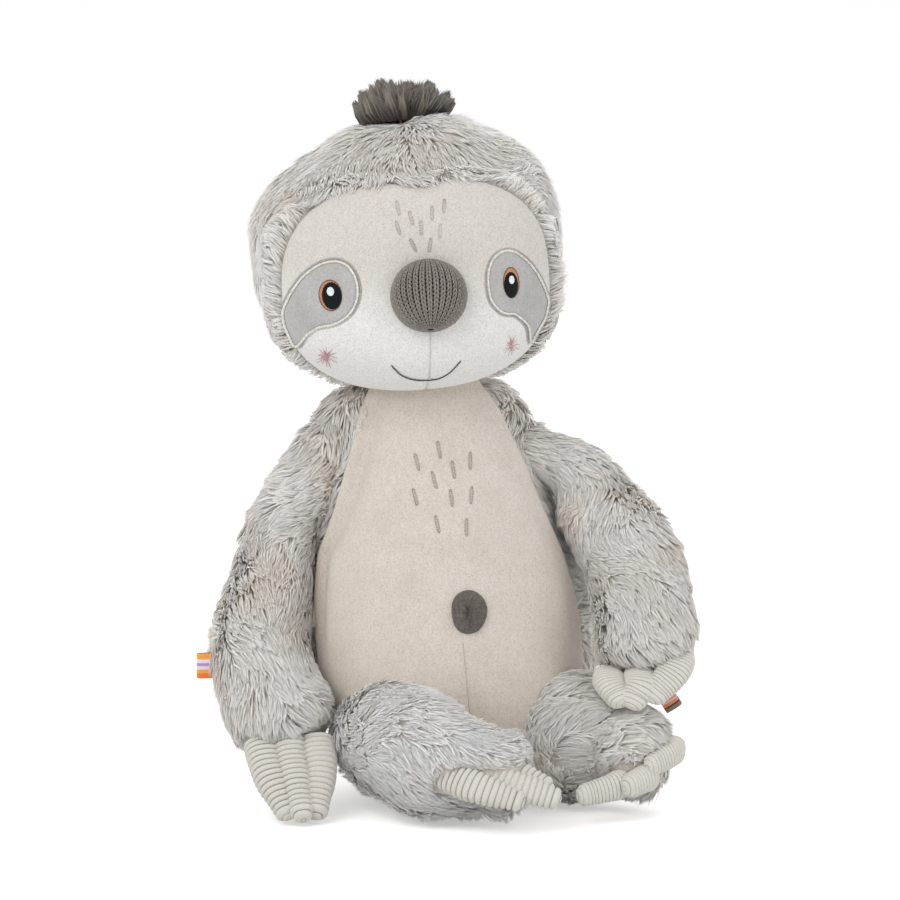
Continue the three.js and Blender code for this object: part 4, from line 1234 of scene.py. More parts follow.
@dataclass
class Torso:
    """The body: a pear that leans to the toy's right, with a velour belly sewn into its front."""

    lean: float = 0.1
    line: tuple = (
        (-12, 31, 0.92), (0, 47, 0.92), (40, 70, 0.92), (98, 77, 0.92), (158, 65, 0.92), (206, 51, 0.79),
        (226, 38, 0.89),
    )
    backing: float = 6.5
    shoulder: float = 9.5
    hip: float = 12.0
    right_hip: float = 0.55
    valley: Pair = (6.5, 1.2)
    top: float = 229
    panel_share: Pair = (0.982, 0.94)
    neck_share: float = 0.835
    skin_grid: tuple[int, int] = (84, 110)
    panel_grid: tuple[int, int] = (122, 76)
    panel_bottom: float = 14
    panel_top: float = 234
    cloth: float = 3.5
    dashes: tuple = (
        (-30.8, 187.4, 10), (-18.8, 193.4, 8), (-11.8, 183.1, 5), (-2.2, 187.2, -4), (-22.3, 178.2, 12),
        (-32.7, 169.5, 12), (-13.7, 168.9, 4), (-2.7, 170.0, -6), (-21.8, 155.7, 10), (-6.3, 153.8, -2),
    )
    navel_at: Pair = (-6.1, 109.8)
    navel_half: Pair = (9.7, 12.0)

    def half(self, z: Array, column: int = 1) -> Array:
        """Half width at a height, read off the smooth line through the sizes."""
        fine = smooth_line(np.array(self.line, float), np.linspace(0, 1, 400))
        return np.interp(z, fine[:, 0], fine[:, column])

    def depth(self, z: Array) -> Array:
        """How deep the body is at a height, as a share of its width."""
        return self.half(z, 2)

    def surface(self, angle: Array, z: Array, grow: Array | float) -> Array:
        """A point at an angle from straight ahead and a height, moved out by an amount."""
        half = self.half(z)
        x = -self.lean * z + (half + grow) * np.sin(angle)
        y = -(half * self.depth(z) + grow) * np.cos(angle)
        return np.stack([x, y, z + 0 * x], axis=-1)

    def skin(self) -> Skin:
        """The backing, drawn in at the seat and the neck, combed downwards and back."""
        rows, cols = self.skin_grid
        rise = np.linspace(0, 1, rows)
        height = ROOT_CLEAR + (self.top - ROOT_CLEAR) * rise
        a, z = np.meshgrid(np.linspace(0, TAU, cols, endpoint=False), height)
        lumps = 1.3 * Wander(3, 1).at(self.surface(a, z, 0.0), 34)[..., 0]
        back = -np.cos(a)
        full = self.shoulder * bell(z, 204, 22) * eased(back, -0.45, 0.1)
        side_share = np.where(np.sin(a) > 0, 1, self.right_hip)
        full = full + self.hip * bell(z, 102, 66) * eased(back, -0.28, 0.1) * side_share * np.abs(np.sin(a))
        p = self.surface(a, z, lumps - self.backing + full)
        middle = np.stack([-self.lean * z, 0 * z, z], axis=-1)
        drawn = self.drawn_in(rise / 0.035) * self.drawn_in((1 - rise) / 0.05)
        p = middle + (p - middle) * drawn[:, None, None]
        return Skin(p, np.stack([0.35 * np.sin(a), 0 * a, 0 * a - 1], axis=-1))

    @staticmethod
    def drawn_in(share: Array) -> Array:
        """How wide an end that is rounded off is, from nearly 0 at its tip to 1 at a share of 1."""
        return np.minimum(1, np.sqrt(np.clip(1 - (1 - np.clip(share, 0, 1)) ** 2, 0.0004, 1)))

    def panel_angle(self, z: Array, left: Array | bool) -> Array:
        """The angle from straight ahead at which the belly panel ends, at a height on one side."""
        taper = np.minimum(1, 0.3 + (z - self.panel_bottom) / 60)
        low = np.where(left, self.panel_share[1], self.panel_share[0])
        share = low + (self.neck_share - low) * np.clip((z - 135) / 65, 0, 1)
        return np.arcsin(np.clip(share * taper, 0, 0.99))

    def beyond_panel(self, p: Array) -> Array:
        """How far, in millimetres, a point lies outside the belly panel's edge."""
        z = np.clip(p[..., 2], self.panel_bottom, self.panel_top)
        angle = np.arctan2(p[..., 0] + self.lean * p[..., 2], -p[..., 1] / self.depth(p[..., 2]))
        away = (np.abs(angle) - self.panel_angle(z, angle > 0)) * self.half(z)
        return np.where(p[..., 2] < self.panel_bottom, np.maximum(away, self.panel_bottom - p[..., 2]), away)

    def lumps(self, flat: Array) -> Array:
        """The soft swellings that the stuffing makes under the belly's velour."""
        w = Wander(19, 2)
        return 0.9 * w.at(flat, 44)[..., 0] + 0.35 * w.at(flat * np.array([1, 1, 0.6]), 15)[..., 1]

    def panel_form(self, side: int) -> Form:
        """One velour half of the belly, its rim and the middle seam turned in."""
        rows, cols = self.panel_grid
        rim_depth, rim_width = 4.0, 2.6
        seam_depth, seam_width = 0.9, 0.8
        collar_depth, bottom_depth = 1.3, 3.0
        z = np.linspace(self.panel_bottom, self.panel_top, rows)[:, None]
        share = (1 - (1 - np.linspace(0, 1, cols)) ** 1.4)[None, :] ** 1.25
        edge = self.panel_angle(z, side > 0)
        angle = side * edge * share
        flat = self.surface(angle, z, 0.0)
        to_rim = edge * (1 - share) * self.half(z)
        roll = rim_depth * np.exp(-to_rim / rim_width)
        valley = bell(to_rim, 12.0, 7.5) * eased(z, 60, 115) * (1 - eased(z, 200, 224))
        low = 1 / (1 + np.exp((z - 96) / 4))
        seam = seam_depth * low * np.exp(-((np.abs(angle) * self.half(z) / seam_width) ** 1.3))
        collar = collar_depth * bell(z, 214, 7) * (0.6 + 0.4 * np.cos(angle * 9))
        bottom = bottom_depth * np.exp(-(z - self.panel_bottom) / 4)
        valley = self.valley[side > 0] * valley
        front = self.surface(angle, z, self.lumps(flat) - roll - seam - collar - bottom - valley)
        back = self.surface(angle, z, -self.cloth - 2.6)
        for grid in (front, back):
            grid[:, 0, 0] += side * 0.01
        return shell_form(front, back, np.stack([flat[..., 0], flat[..., 2]], axis=-1) / 100)

    def front(self, x: Array, z: Array, lift: Array | float) -> tuple[Array, Array]:
        """Points above the belly at places seen from straight ahead, and the way it faces."""
        x, z = np.asarray(x, float), np.asarray(z, float)
        angle = np.arcsin(np.clip((x + self.lean * z) / self.half(z), -0.98, 0.98))
        p = self.surface(angle, z, 0.0)
        across, upward = self.surface(angle + 0.01, z, 0.0) - p, self.surface(angle, z + 1.0, 0.0) - p
        facing = facing_ahead(across, upward)
        return p + facing * (np.asarray(lift) + self.lumps(p))[..., None], facing


def dash_form(place: Placer, centre: Pair, tilt: float, size: Pair = (7.4, 1.7)) -> Form:
    """One stitched dash: a narrow loop of small running stitches, with rungs across it.

    Args:
        place: A function from flat places and a lift to points and directions.
        centre: The dash's middle, seen from straight ahead.
        tilt: Its lean in degrees, the top going to the toy's right.
        size: Its length and width.

    Returns:
        The stitches.
    """
    half_long, half_wide, radius = size[0] / 2, size[1] / 2, 0.24
    c, s = math.cos(math.radians(tilt)), math.sin(math.radians(tilt))
    t = np.linspace(0, TAU, 17, endpoint=False)
    x = half_wide * np.sign(np.cos(t)) * np.abs(np.cos(t)) ** 0.45
    z = half_long * np.sign(np.sin(t)) * np.abs(np.sin(t)) ** 1.2
    px, pz = centre[0] + x * c - z * s, centre[1] + x * s + z * c
    w = np.array([0.08, 0.3, 0.5, 0.7, 0.92])[None, :]
    fx, fz = (p[:, None] * (1 - w) + np.roll(p, -1)[:, None] * w for p in (px, pz))
    path, facing = place(fx, fz, 0.02 + 0.22 * np.sin(w * math.pi) + 0 * fx)
    rung = np.linspace(-0.78, 0.78, 8)[:, None] * half_long
    reach = np.linspace(-0.95, 0.95, 5)[None, :] * half_wide
    rx, rz = centre[0] + reach * c - rung * s, centre[1] + reach * s + rung * c
    rungs, away = place(rx, rz, 0.12 - 0.16 * (reach / half_wide) ** 2 + 0 * rx)
    return Form.joined([threads(path, facing[:, 2], radius), threads(rungs, away[:, 2], radius)])


@dataclass
class Limb:
    """An arm or a leg: a stuffed sleeve along a smooth line, with claws at its end."""

    name: str
    path: tuple
    side: Trio
    end_cap: float
    backing: float = 6.5
    seed: int = 1

    def skin(self) -> Skin:
        """The backing: rings square to the line, rounded off at both ends, combed to the paw."""
        caps, rows, cols = 14, 70, 56
        first, step = 0.06, 0.02
        p = np.array(self.path, float)
        turn = np.linspace(first, 1, caps) * math.pi / 2
        t = np.concatenate([np.zeros(caps), np.linspace(0, 1, rows), np.ones(caps)])
        share = np.concatenate([np.sin(turn), np.ones(rows), np.cos(turn - first * math.pi / 2)])
        radius = smooth_line(p[:, 3:4], t)[:, 0] - self.backing
        tip = np.sin(turn) * radius[-1] * self.end_cap
        offset = np.concatenate([-np.cos(turn) * radius[0], np.zeros(rows), tip])
        before, beyond = (smooth_line(p[:, :3], np.clip(t + way, 0, 1)) for way in (-step, step))
        ahead = unit(beyond - before)
        centre = smooth_line(p[:, :3], t) + ahead * offset[:, None]
        side = square_to(np.array(self.side), ahead)
        over = np.cross(ahead, side)
        angle = np.linspace(0, TAU, cols, endpoint=False)[None, :, None]
        ring = side[:, None] * np.cos(angle) + over[:, None] * np.sin(angle)
        body = centre[:, None] + ring * (radius * share)[:, None, None]
        lumps = 3.0 * Wander(self.seed + 20, 1).at(body, 27)[..., 0] * share[:, None]
        body = body + ring * lumps[..., None]
        body[..., 2] = np.maximum(body[..., 2], ROOT_CLEAR)
        return Skin(body, np.broadcast_to(ahead[:, None], body.shape).copy())


@dataclass
class Claws:
    """Three padded corduroy channels side by side, with ribs across each."""

    lobes: tuple
    side: Trio
    root: float = 10.5
    tip: float = 7.0
    flat: float = 0.78
    pitch: float = 3.2
    rib: float = 1.6
    covered: float = 0.0
    start: float = 1.0

    def lobe(self, points: tuple, shift: float) -> Form:
        """One channel: a tapering sleeve whose radius swells and sinks once for each rib."""
        per_rib, corners, out = 8, 40, self.tip * 0.9
        line = along_line(np.array(points, float), self.pitch / per_rib)
        ahead = unit(np.gradient(line, axis=0))
        step = float(np.linalg.norm(line[1] - line[0]))
        length = step * (len(line) - 1)
        caps = np.linspace(0.02, 1, round(self.tip / self.pitch * per_rib))
        at = np.concatenate([np.arange(len(line)) * step, length + caps * out])
        turn = np.concatenate([np.zeros(len(line)), caps * math.pi / 2])
        tip = line[-1] + ahead[-1] * (np.sin(turn[len(line) :]) * out)[:, None]
        centre = np.concatenate([line, tip])
        ahead = np.concatenate([ahead, np.tile(ahead[-1], (len(caps), 1))])
        share = np.clip(at / length, 0, 1)
        wide = self.root + (self.tip - self.root) * np.clip((share - 0.25) / 0.75, 0, 1) ** 1.3
        wide = wide * (self.start + (1 - self.start) * eased(share, 0.0, 0.45))
        closing = np.cos(turn) * 0.985 + 0.015
        wave = np.abs(np.sin(math.pi * (at + shift) / self.pitch)) ** 0.6
        rib = (wave - 0.75) * self.rib * np.clip(closing * 1.6, 0, 1)
        rib = rib + 0.7 * Wander(64, 1).at(centre, 11.0)[:, 0] * closing
        side = square_to(np.array(self.side), ahead)
        over = np.cross(ahead, side)
        angle = np.linspace(0, TAU, corners, endpoint=False)
        c, s = (np.sign(way) * np.abs(way) ** 0.85 for way in (np.cos(angle), np.sin(angle)))
        w = (wide * closing + rib)[:, None, None]
        d = (wide * closing * self.flat + rib)[:, None, None]
        ring = centre[:, None] + side[:, None] * c[None, :, None] * w + over[:, None] * s[None, :, None] * d
        ring[..., 2] = np.maximum(ring[..., 2], FLOOR_CLEAR)
        form = tube_form(ring)
        # The rib's rise is carried as shade; the corduroy finish paints shade in the hollows where it is low.
        form.shade = np.concatenate([np.repeat(wave, corners), [wave[0], wave[-1]]])
        return form

    def form(self) -> Form:
        """All three channels."""
        return Form.joined([self.lobe(points, 0.5 * k) for k, points in enumerate(self.lobes)])

    def nearness(self, points: Array) -> Array:
        """Distance from each point to the nearest channel's middle line, but for its covered start."""
        best = np.full(len(points), 1e9)
        for lobe in self.lobes:
            line = along_line(np.array(lobe, float), 3.0)
            line = line[int(self.covered * len(line)) :]
            gap = np.linalg.norm(points[:, None] - line[None], axis=-1).min(axis=1)
            best = np.minimum(best, gap)
        return best


ARM_RIGHT = Limb(
    "arm_right",
    (
        (-70, 0, 189, 21), (-94, -4, 154, 23), (-106, -10, 119, 25.5), (-111.5, -19, 87, 29),
        (-107.5, -31, 60, 31), (-102, -39, 53, 28.5),
    ),
    (0, 1, 0),
    0.8,
    seed=4,
)
ARM_LEFT = Limb(
    "arm_left",
    (
        (36, 0, 186, 18), (60, -9, 173.5, 20.5), (75, -22, 151, 26), (87, -38, 127, 29.5),
        (91, -54, 103, 29), (88.5, -62, 91, 27.5),
    ),
    (0, 1, 0),
    0.72,
    seed=5,
)
LEG_RIGHT = Limb(
    "leg_right",
    ((-47, -20, 37, 31), (-43, -52, 39, 36), (-29, -88, 36, 34.5), (0, -102, 30, 27.5)),
    (0, 0, 1),
    0.9,
    seed=6,
)
LEG_LEFT = Limb(
    "leg_left",
    ((36, -18, 31.5, 22), (51, -44, 38, 38), (74, -66, 34, 33), (79, -79, 34.5, 27.5)),
    (0, 0, 1),
    0.85,
    seed=8,
)
HAND_RIGHT = Claws(
    (
        ((-115.5, -50, 38), (-112.5, -66, 24), (-105.5, -82, 8)),
        ((-101, -52, 38), (-99.5, -69, 23), (-97.5, -87, 8)),
        ((-85.5, -50, 38), (-85.5, -66, 24), (-89.5, -82, 8)),
    ),
    (1, 0, 0),
    root=8.9,
    tip=5.9,
    flat=0.95,
)
HAND_LEFT = Claws(
    (
        ((68.5, -66, 75), (68.5, -81, 70), (71.5, -88, 65.5)),
        ((85.5, -68, 76), (83.5, -86, 71), (79.2, -91, 65)),
        ((110, -63, 90), (102, -82, 78), (91, -89, 67.5)),
    ),
    (1, 0, 0),
    root=9.4,
    tip=7.2,
    pitch=1.9,
    flat=0.66,
    rib=0.7,
    covered=0.4,
    start=0.75,
)
FOOT_RIGHT = Claws(
    (
        ((-31, -109, 32), (-10, -125, 26.5), (9, -131, 20.5)),
        ((-18, -106, 32), (7, -121, 27), (29, -127, 20.5)),
        ((-5, -99, 32), (14, -111, 28.5), (26, -119, 24.5)),
    ),
    (0, 0.6, 0.8),
    root=8.8,
    tip=6.2,
    covered=0.15,
    start=0.75,
)
FOOT_LEFT = Claws(
    (
        ((77, -88, 22), (67, -101, 20), (51, -106, 17)),
        ((90, -86, 23), (85, -97, 23.5), (75, -105, 21)),
        ((107, -74, 36), (99, -89, 35), (88, -99, 31)),
    ),
    (0, 0, 1),
    root=8.0,
    tip=6.2,
    pitch=1.9,
    rib=0.65,
    covered=0.25,
    start=0.5,
)


class Wardrobe:
    """Every finish, made once."""

    def __init__(self) -> None:
        """Builds the materials."""
        # The pale colours make a lighter copy of the pile for the right leg: painted light, brighter than the
        # lamps make that leg.
        pale = (240, 236, 230), (250, 248, 245), (254, 253, 251), (250, 242, 234), 0.7
        taupe = (58, 52, 46), (98, 91, 84), (142, 134, 126), (225, 215, 205), 0.0
        orange, lilac = (240, 126, 52), (186, 150, 206)
        bright = (orange, (244, 168, 70), (236, 222, 236), lilac, (238, 226, 236), (244, 170, 74))
        coral = (232, 134, 84)
        olive = ((128, 116, 98), (58, 48, 40), coral, (212, 200, 220), coral, (176, 170, 140))
        self.pile = PlushPile().made()
        self.painted_light_pile = PlushPile("painted_light_pile", *pale).made()
        self.backing = Velour("pile_backing", (214, 206, 196), (204, 196, 186)).made()
        self.face = Velour("face_velour", (212, 206, 199), (230, 228, 224), 262, 300).made()
        self.belly = Velour("belly_velour", (214, 205, 195), (209, 199, 188)).made()
        self.grey = Velour("grey_velour", (187, 185, 183), (178, 175, 172)).made()
        self.satin = Thread("cream_satin", (238, 234, 226)).made()
        self.outline = Thread("taupe_thread", (194, 188, 182)).made()
        self.rim = Thread("brown_thread", (92, 80, 72)).made()
        self.black = Thread("black_satin", (7, 8, 10), (13, 15, 18), 0.5, 0.12).made()
        self.iris = Thread("orange_satin", (198, 134, 92)).made()
        self.glint = Thread("white_satin", (232, 236, 238)).made()
        self.smile = Thread("dark_thread", (66, 66, 66)).made()
        self.dash = Thread("dash_thread", (186, 178, 168)).made()
        self.pink = Thread("pink_thread", (222, 170, 176)).made()
        self.star = Thread("mauve_thread", (190, 164, 164)).made()
        self.navel = Yarn("navel_knit", (118, 111, 105), (84, 78, 73)).made()
        self.knit = Yarn("taupe_knit", (160, 153, 146), (122, 115, 108)).made()
        # The nose's dark core colour is painted shade, seen in the gaps between the stitches.
        self.gap_shade = Yarn("knit_gap_shade", (66, 60, 55), (52, 47, 43)).made()
        self.tuft = PlushPile("taupe_tuft", *taupe).made()
        self.wale = Wale().made()
        starts = (0.0, 0.22, 0.36, 0.5, 0.62, 0.76)
        self.bright = WovenStripes("bright_ribbon", tuple(zip(starts, bright))).made()
        starts = (0.0, 0.22, 0.3, 0.46, 0.54, 0.74)
        self.olive = WovenStripes("olive_ribbon", tuple(zip(starts, olive))).made()


def sparser(facing: Array) -> Array:
    """Which locks stay: all that face forward, and about two in three of those that face back."""
    spared, back = 0.36, 0.25
    spare = np.random.default_rng(8).random(len(facing)) < spared
    return ~(spare & (facing[:, 1] > back))


def settle(piece: Piece, body: str, slot: Slot, *nodes: str) -> Piece:
    """Attaches a piece to the body that it moves with and hides the nodes that it stands for."""
    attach(piece, body)
    if nodes:
        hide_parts(*nodes)
    LOG.info("%s: %d faces on %s", piece.name, len(piece.data.polygons), body)
    return piece


def sewn(
    name: str, form: Form, finish: Material, body: str, slot: Slot, *nodes: str, merge: bool = False
) -> Piece:
    """Makes a piece and settles it.

    Args:
        name: The piece's name.
        form: Its mesh.
        finish: Its material.
        body: The body that it moves with.
        slot: Its material slot, which is not used.
        nodes: The nodes that it stands for.
        merge: Whether points that fall together are made one.

    Returns:
        The piece.
    """
    return settle(make_piece(name, form, finish, merge), body, slot, *nodes)


def build_eye(head: Head, side: int, finish: Wardrobe) -> None:
    """Builds one eye: its grey cloth with cord and edging, and what is embroidered on it.

    Args:
        head: The head.
        side: 0 for the toy's right eye, 1 for its left.
        finish: The materials.
    """
    name, patch = SIDES[side], (head.patch_right, head.patch_left)[side]
    at, half = head.irises[side]

    def thread(title: str, form: Form, material: Material, *nodes: str, merge: bool = False) -> None:
        """Settles one embroidered piece of this eye."""
        sewn(f"{title}_{name}", form, material, "head", Slot.THREAD, *nodes, merge=merge)

    cloth = head.patch_form(patch)
    sewn(f"eye_patch_cloth_{name}", cloth, finish.grey, "head", Slot.GREY, f"eye_patch_{name}", merge=True)
    thread("patch_cord", head.border(patch, 0.2, 0.42, 0.35, (0.6, 0.3, 0.75)), finish.satin)
    slants = ((0.55, 0.1), (-0.55, 0.16))
    zigzag = [head.border(patch, 1.5, 0.62, slant, (0.8, 0.17, lift)) for slant, lift in slants]
    thread("patch_edging", Form.joined(zigzag), finish.outline)
    thread("iris", head.eye_form(at, half, 0.9, 0.5, 0.3), finish.iris, merge=True)
    turn = np.linspace(0, TAU, 25)
    ring = np.stack([at[0] + half[0] * 1.02 * np.cos(turn), at[1] + half[1] * 1.02 * np.sin(turn)], axis=1)
    thread("eye_outline", head.line_form(ring, 1.5, 0.2, 1.05), finish.rim)
    black = head.eye_form(*head.eyes[side], 1.15, 0.75, 0.2)
    thread("pupil", black, finish.black, f"eye_{name}", merge=True)
    thread("glint", head.eye_form(*head.glints[side], 1.75, 0.45, 0.0), finish.glint, merge=True)


def build_hood(head: Head, finish: Wardrobe) -> None:
    """Builds the hood: its padded backing and four pieces of pile, none of it under the neck."""
    skin = head.skin()
    backing = make_piece("head_backing", tube_form(skin.points), finish.backing, merge=True)
    settle(backing, "head", Slot.PILE, "head_filling", "neck_filling")
    roots, facing, comb = skin.scattered(HOOD_LOCKS, np.random.default_rng(21))
    local = (roots - np.array(head.at)) @ roll_matrix(head.roll)
    away = head.away(local * (1 + 5 / np.linalg.norm(local, axis=1, keepdims=True)))
    neck = np.linalg.norm(roots - np.array(NECK), axis=1)
    keep = (away > 0.25) & ((neck > NECK_BARE) | (roots[:, 2] > NECK_TOP)) & sparser(facing)
    roots, facing, comb, local, away = (values[keep] for values in (roots, facing, comb, local, away))
    edge = np.exp(-away / 6)
    pile = Pile(seed=31, stand=0.4, swirl=1.5, swirl_size=32, half_width=0.5, tuft=0.36, clump=0.4)
    for name, half in (("right", local[:, 0] < 0), ("left", local[:, 0] >= 0)):
        for end, part in (("front", half & (local[:, 1] < 8)), ("back", half & (local[:, 1] >= 8))):
            form = pile.grown(roots[part], facing[part], comb[part], 1 - 0.38 * edge[part], 0.35 * edge[part])
            nodes = [f"hood_fur_{name}"] if end == "front" else []
            sewn(f"hood_pile_{name}_{end}", form, finish.pile, "head", Slot.PILE, *nodes)


def build_head(finish: Wardrobe) -> None:
    """Builds the head's pieces."""
    head = Head()
    build_hood(head, finish)
    for name, side in (("right", -1), ("left", 1)):
        form = head.face_half_form(side)
        sewn(f"face_velour_{name}", form, finish.face, "head", Slot.CREAM, f"face_panel_{name}", merge=True)
    for side in range(2):
        build_eye(head, side, finish)
    smile = head.line_form(np.array(head.mouth), 2.3, 0.36, 0.22)
    sewn("smile", smile, finish.smile, "head", Slot.THREAD)
    for k, cheek in enumerate(head.cheeks):
        sewn(f"cheek_rays_{SIDES[k]}", head.star_form(cheek, False, 60 + k), finish.star, "head", Slot.THREAD)
        sewn(f"cheek_{SIDES[k]}", head.star_form(cheek, True, 70 + k), finish.pink, "head", Slot.THREAD)
    brow = Form.joined([dash_form(head.on_face, (x, z), tilt) for x, z, tilt in head.brow])
    sewn("brow_dashes", brow, finish.dash, "head", Slot.THREAD)
    ball = KnitBall(head.placed(np.array(head.nose_at, float)), head.nose_half)
    sewn("nose_knit", ball.stitches(), finish.knit, "head", Slot.KNIT, "nose_cover")
    # The core is dark as painted shade between the stitches.
    core = sewn("nose_stuffed", ball.core(), finish.gap_shade, "head", Slot.KNIT, "nose_filling", merge=True)
    sewn("crown_tuft", tuft_form(head), finish.tuft, "head", Slot.YARN, "hair_tuft")


def roll_matrix(roll: float) -> Array:
    """The matrix that takes rolled rows back to the head's own frame when they are multiplied by it."""
    c, s = math.cos(roll), math.sin(roll)
    return np.array([[c, 0, s], [0, 1, 0], [-s, 0, c]])


def tuft_form(head: Head) -> Form:
    """The tuft: long thick locks that fan out from a strip on the crown in chunky clumps."""
    rng = np.random.default_rng(5)
    count = 5200
    angle = rng.uniform(0, TAU, count)
    out = np.sqrt(rng.random(count))
    x, y = 24.5 * out * np.cos(angle) + 2.2, 13 * out * np.sin(angle) - 1
    aim = unit(np.stack([x, y, np.full(count, 72.0)], axis=-1))
    local = aim * (head.reach(aim) - 5)[:, None]
    lean = np.stack([x * 0.05, y * 0.03 - 0.12, 0.15 * np.ones(count)], axis=-1)
    lean = lean + 0.25 * Wander(77, 3).at(local, 9)
    pile = Pile(
        length=22.0, ragged=0.2, half_width=0.8, stand=1.22, droop=0.15, clump=0.85, tuft=0.25,
        clump_area=26.0, tuft_area=160.0, swirl=0.5, swirl_size=9.0, curl=0.1, seed=91,
    )
    shorten = np.clip(1.0 - 0.45 * (np.abs(x) / 25) ** 2 - 0.15 * out**4, 0.42, 1.0)
    return pile.grown(head.placed(local), head.turned(aim), head.turned(lean), shorten)


def build_torso(finish: Wardrobe) -> None:
    """Builds the body's pieces."""
    torso = Torso()
    skin = torso.skin()
    backing = make_piece("body_backing", tube_form(skin.points), finish.backing, merge=True)
    settle(backing, "torso", Slot.PILE, "body_filling", "seat_bean_pouch")
    roots, facing, comb = skin.scattered(TORSO_LOCKS, np.random.default_rng(22))
    away = torso.beyond_panel(roots)
    keep = (away > 0.3) & (roots[:, 2] > 3) & sparser(facing)
    roots, facing, comb, away = roots[keep], facing[keep], comb[keep], away[keep]
    edge = np.exp(-away / 6)
    across = roots[:, 0] + torso.lean * roots[:, 2]
    for name, part in (("right", across < 0), ("left", across >= 0)):
        short, upright = 1 - 0.4 * edge[part], 0.45 * edge[part]
        form = Pile(seed=41).grown(roots[part], facing[part], comb[part], short, upright)
        nodes = ["body_fur"] if name == "right" else []
        sewn(f"body_pile_{name}", form, finish.pile, "torso", Slot.PILE, *nodes)
    for name, side in (("right", -1), ("left", 1)):
        form, node = torso.panel_form(side), f"belly_panel_{name}"
        sewn(f"belly_velour_{name}", form, finish.belly, "torso", Slot.CREAM, node, merge=True)
    dashes = Form.joined([dash_form(torso.front, (x, z), tilt, (9.0, 1.7)) for x, z, tilt in torso.dashes])
    sewn("belly_dashes", dashes, finish.dash, "torso", Slot.THREAD)
    sewn("navel_knit", navel_form(torso), finish.navel, "torso", Slot.KNIT, "navel_patch", merge=True)


def navel_form(torso: Torso) -> Form:
    """The navel: a knit patch gathered round a tuck, its rim raised and its middle folded in."""
    rows, cols, column_pitch, row_pitch = 46, 120, 1.9, 1.5
    share = np.linspace(1, 0.02, rows)[:, None]
    turn = np.linspace(0, TAU, cols, endpoint=False)[None, :]
    (x0, z0), (wide, high) = torso.navel_at, torso.navel_half
    x = x0 + share * np.cos(turn) * wide * (1 + 0.04 * np.sin(3 * turn + 1))
    z = z0 + share * np.sin(turn) * high * (1 + 0.03 * np.cos(2 * turn))
    dx, dz = x - x0, z - z0
    fold = bell(dx + 0.8 + 0.14 * dz, 0, 1.5) * bell(dz + 1.5, 0, 6.5)
    tuck = np.exp(-(((dx - 2.6) ** 2 + (dz - 3.2) ** 2) / 6))
    crease = bell(dx + 1.0 - 0.5 * dz, 0, 1.1) * bell(dz, 0, 4.5)
    pucker = 0.6 * np.sin(7 * turn + 4 * share) * np.clip(1 - share, 0, 1) * share * 4
    column = np.abs(np.sin(math.pi * dx / column_pitch))
    wales = 0.36 * column + 0.2 * np.abs(np.sin(math.pi * dz / row_pitch + 1.3 * column))
    dome = 3.6 * np.sqrt(np.clip(1 - share**4, 0, 1))
    height = dome - 3.2 * fold - 1.2 * crease + 2.0 * tuck + pucker
    height = height + wales * np.clip((1 - share) * 8, 0, 1)
    height = np.where(share < 0.95, np.maximum(height, 0.5), height)
    sunk = np.full((1, cols), -1.5)
    front, _ = torso.front(x, z, height)
    low, _ = torso.front(x[:1], z[:1], sunk)
    middle, _ = torso.front(x0 + 0.02 * dx[:1], z0 + 0.02 * dz[:1], sunk)
    return tube_form(np.concatenate([middle, low, front])[::-1])


def build_limb(
    limb: Limb, claws: Claws, claw_name: str, locks: int, finish: Wardrobe
) -> None:
    """Builds one limb: its backing, its pile and its claws.

    Args:
        limb: The sleeve.
        claws: The padded claws at its end.
        claw_name: The claws' name.
        locks: How many locks the pile gets before those in the way are left out.
        finish: The materials.
    """
    torso, leg = Torso(), limb.name.startswith("leg")
    skin = limb.skin()
    backing = make_piece(f"{limb.name}_backing", tube_form(skin.points), finish.backing, merge=True)
    roots, facing, comb = skin.scattered(locks, np.random.default_rng(limb.seed + 60))
    near = claws.nearness(roots)
    wide = np.hypot(roots[:, 0] + torso.lean * roots[:, 2], roots[:, 1] / torso.depth(roots[:, 2]))
    inside = torso.half(roots[:, 2]) - 9 - wide
    keep = (near > CLAW_BARE) & (inside < 0) & (roots[:, 2] > 2.4) & sparser(facing)
    roots, facing, comb, near = roots[keep], facing[keep], unit(comb[keep]), near[keep]
    shorten = np.clip(0.45 + (near - CLAW_BARE) / 14, 0.45, 1.0)
    if leg:
        comb = 0.5 * comb + 0.6 * np.cross(facing, comb)
    comb = comb + np.array([0, 0, -0.25])
    pile = Pile(seed=limb.seed + 80, swirl=1.5, stand=0.38 if leg else 0.5)
    # The right leg wears the lighter copy of the pile: painted light on that leg.
    fur = finish.painted_light_pile if limb is LEG_RIGHT else finish.pile
    pieces = [(backing, "filling")]
    for name, part in (("front", facing[:, 1] < 0), ("back", facing[:, 1] >= 0)):
        form = pile.grown(roots[part], facing[part], comb[part], shorten[part])
        pieces.append((make_piece(f"{limb.name}_pile_{name}", form, fur), "fur"))
    for k, (piece, node) in enumerate(pieces):
        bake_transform(piece)
        if k < 2:
            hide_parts(f"{limb.name}_{node}")
        LOG.info("%s: %d faces from torso to %s", piece.name, len(piece.data.polygons), limb.name)
    name = f"{claw_name}_corduroy"
    piece = sewn(name, claws.form(), finish.wale, limb.name, Slot.CORD, claw_name, merge=True)


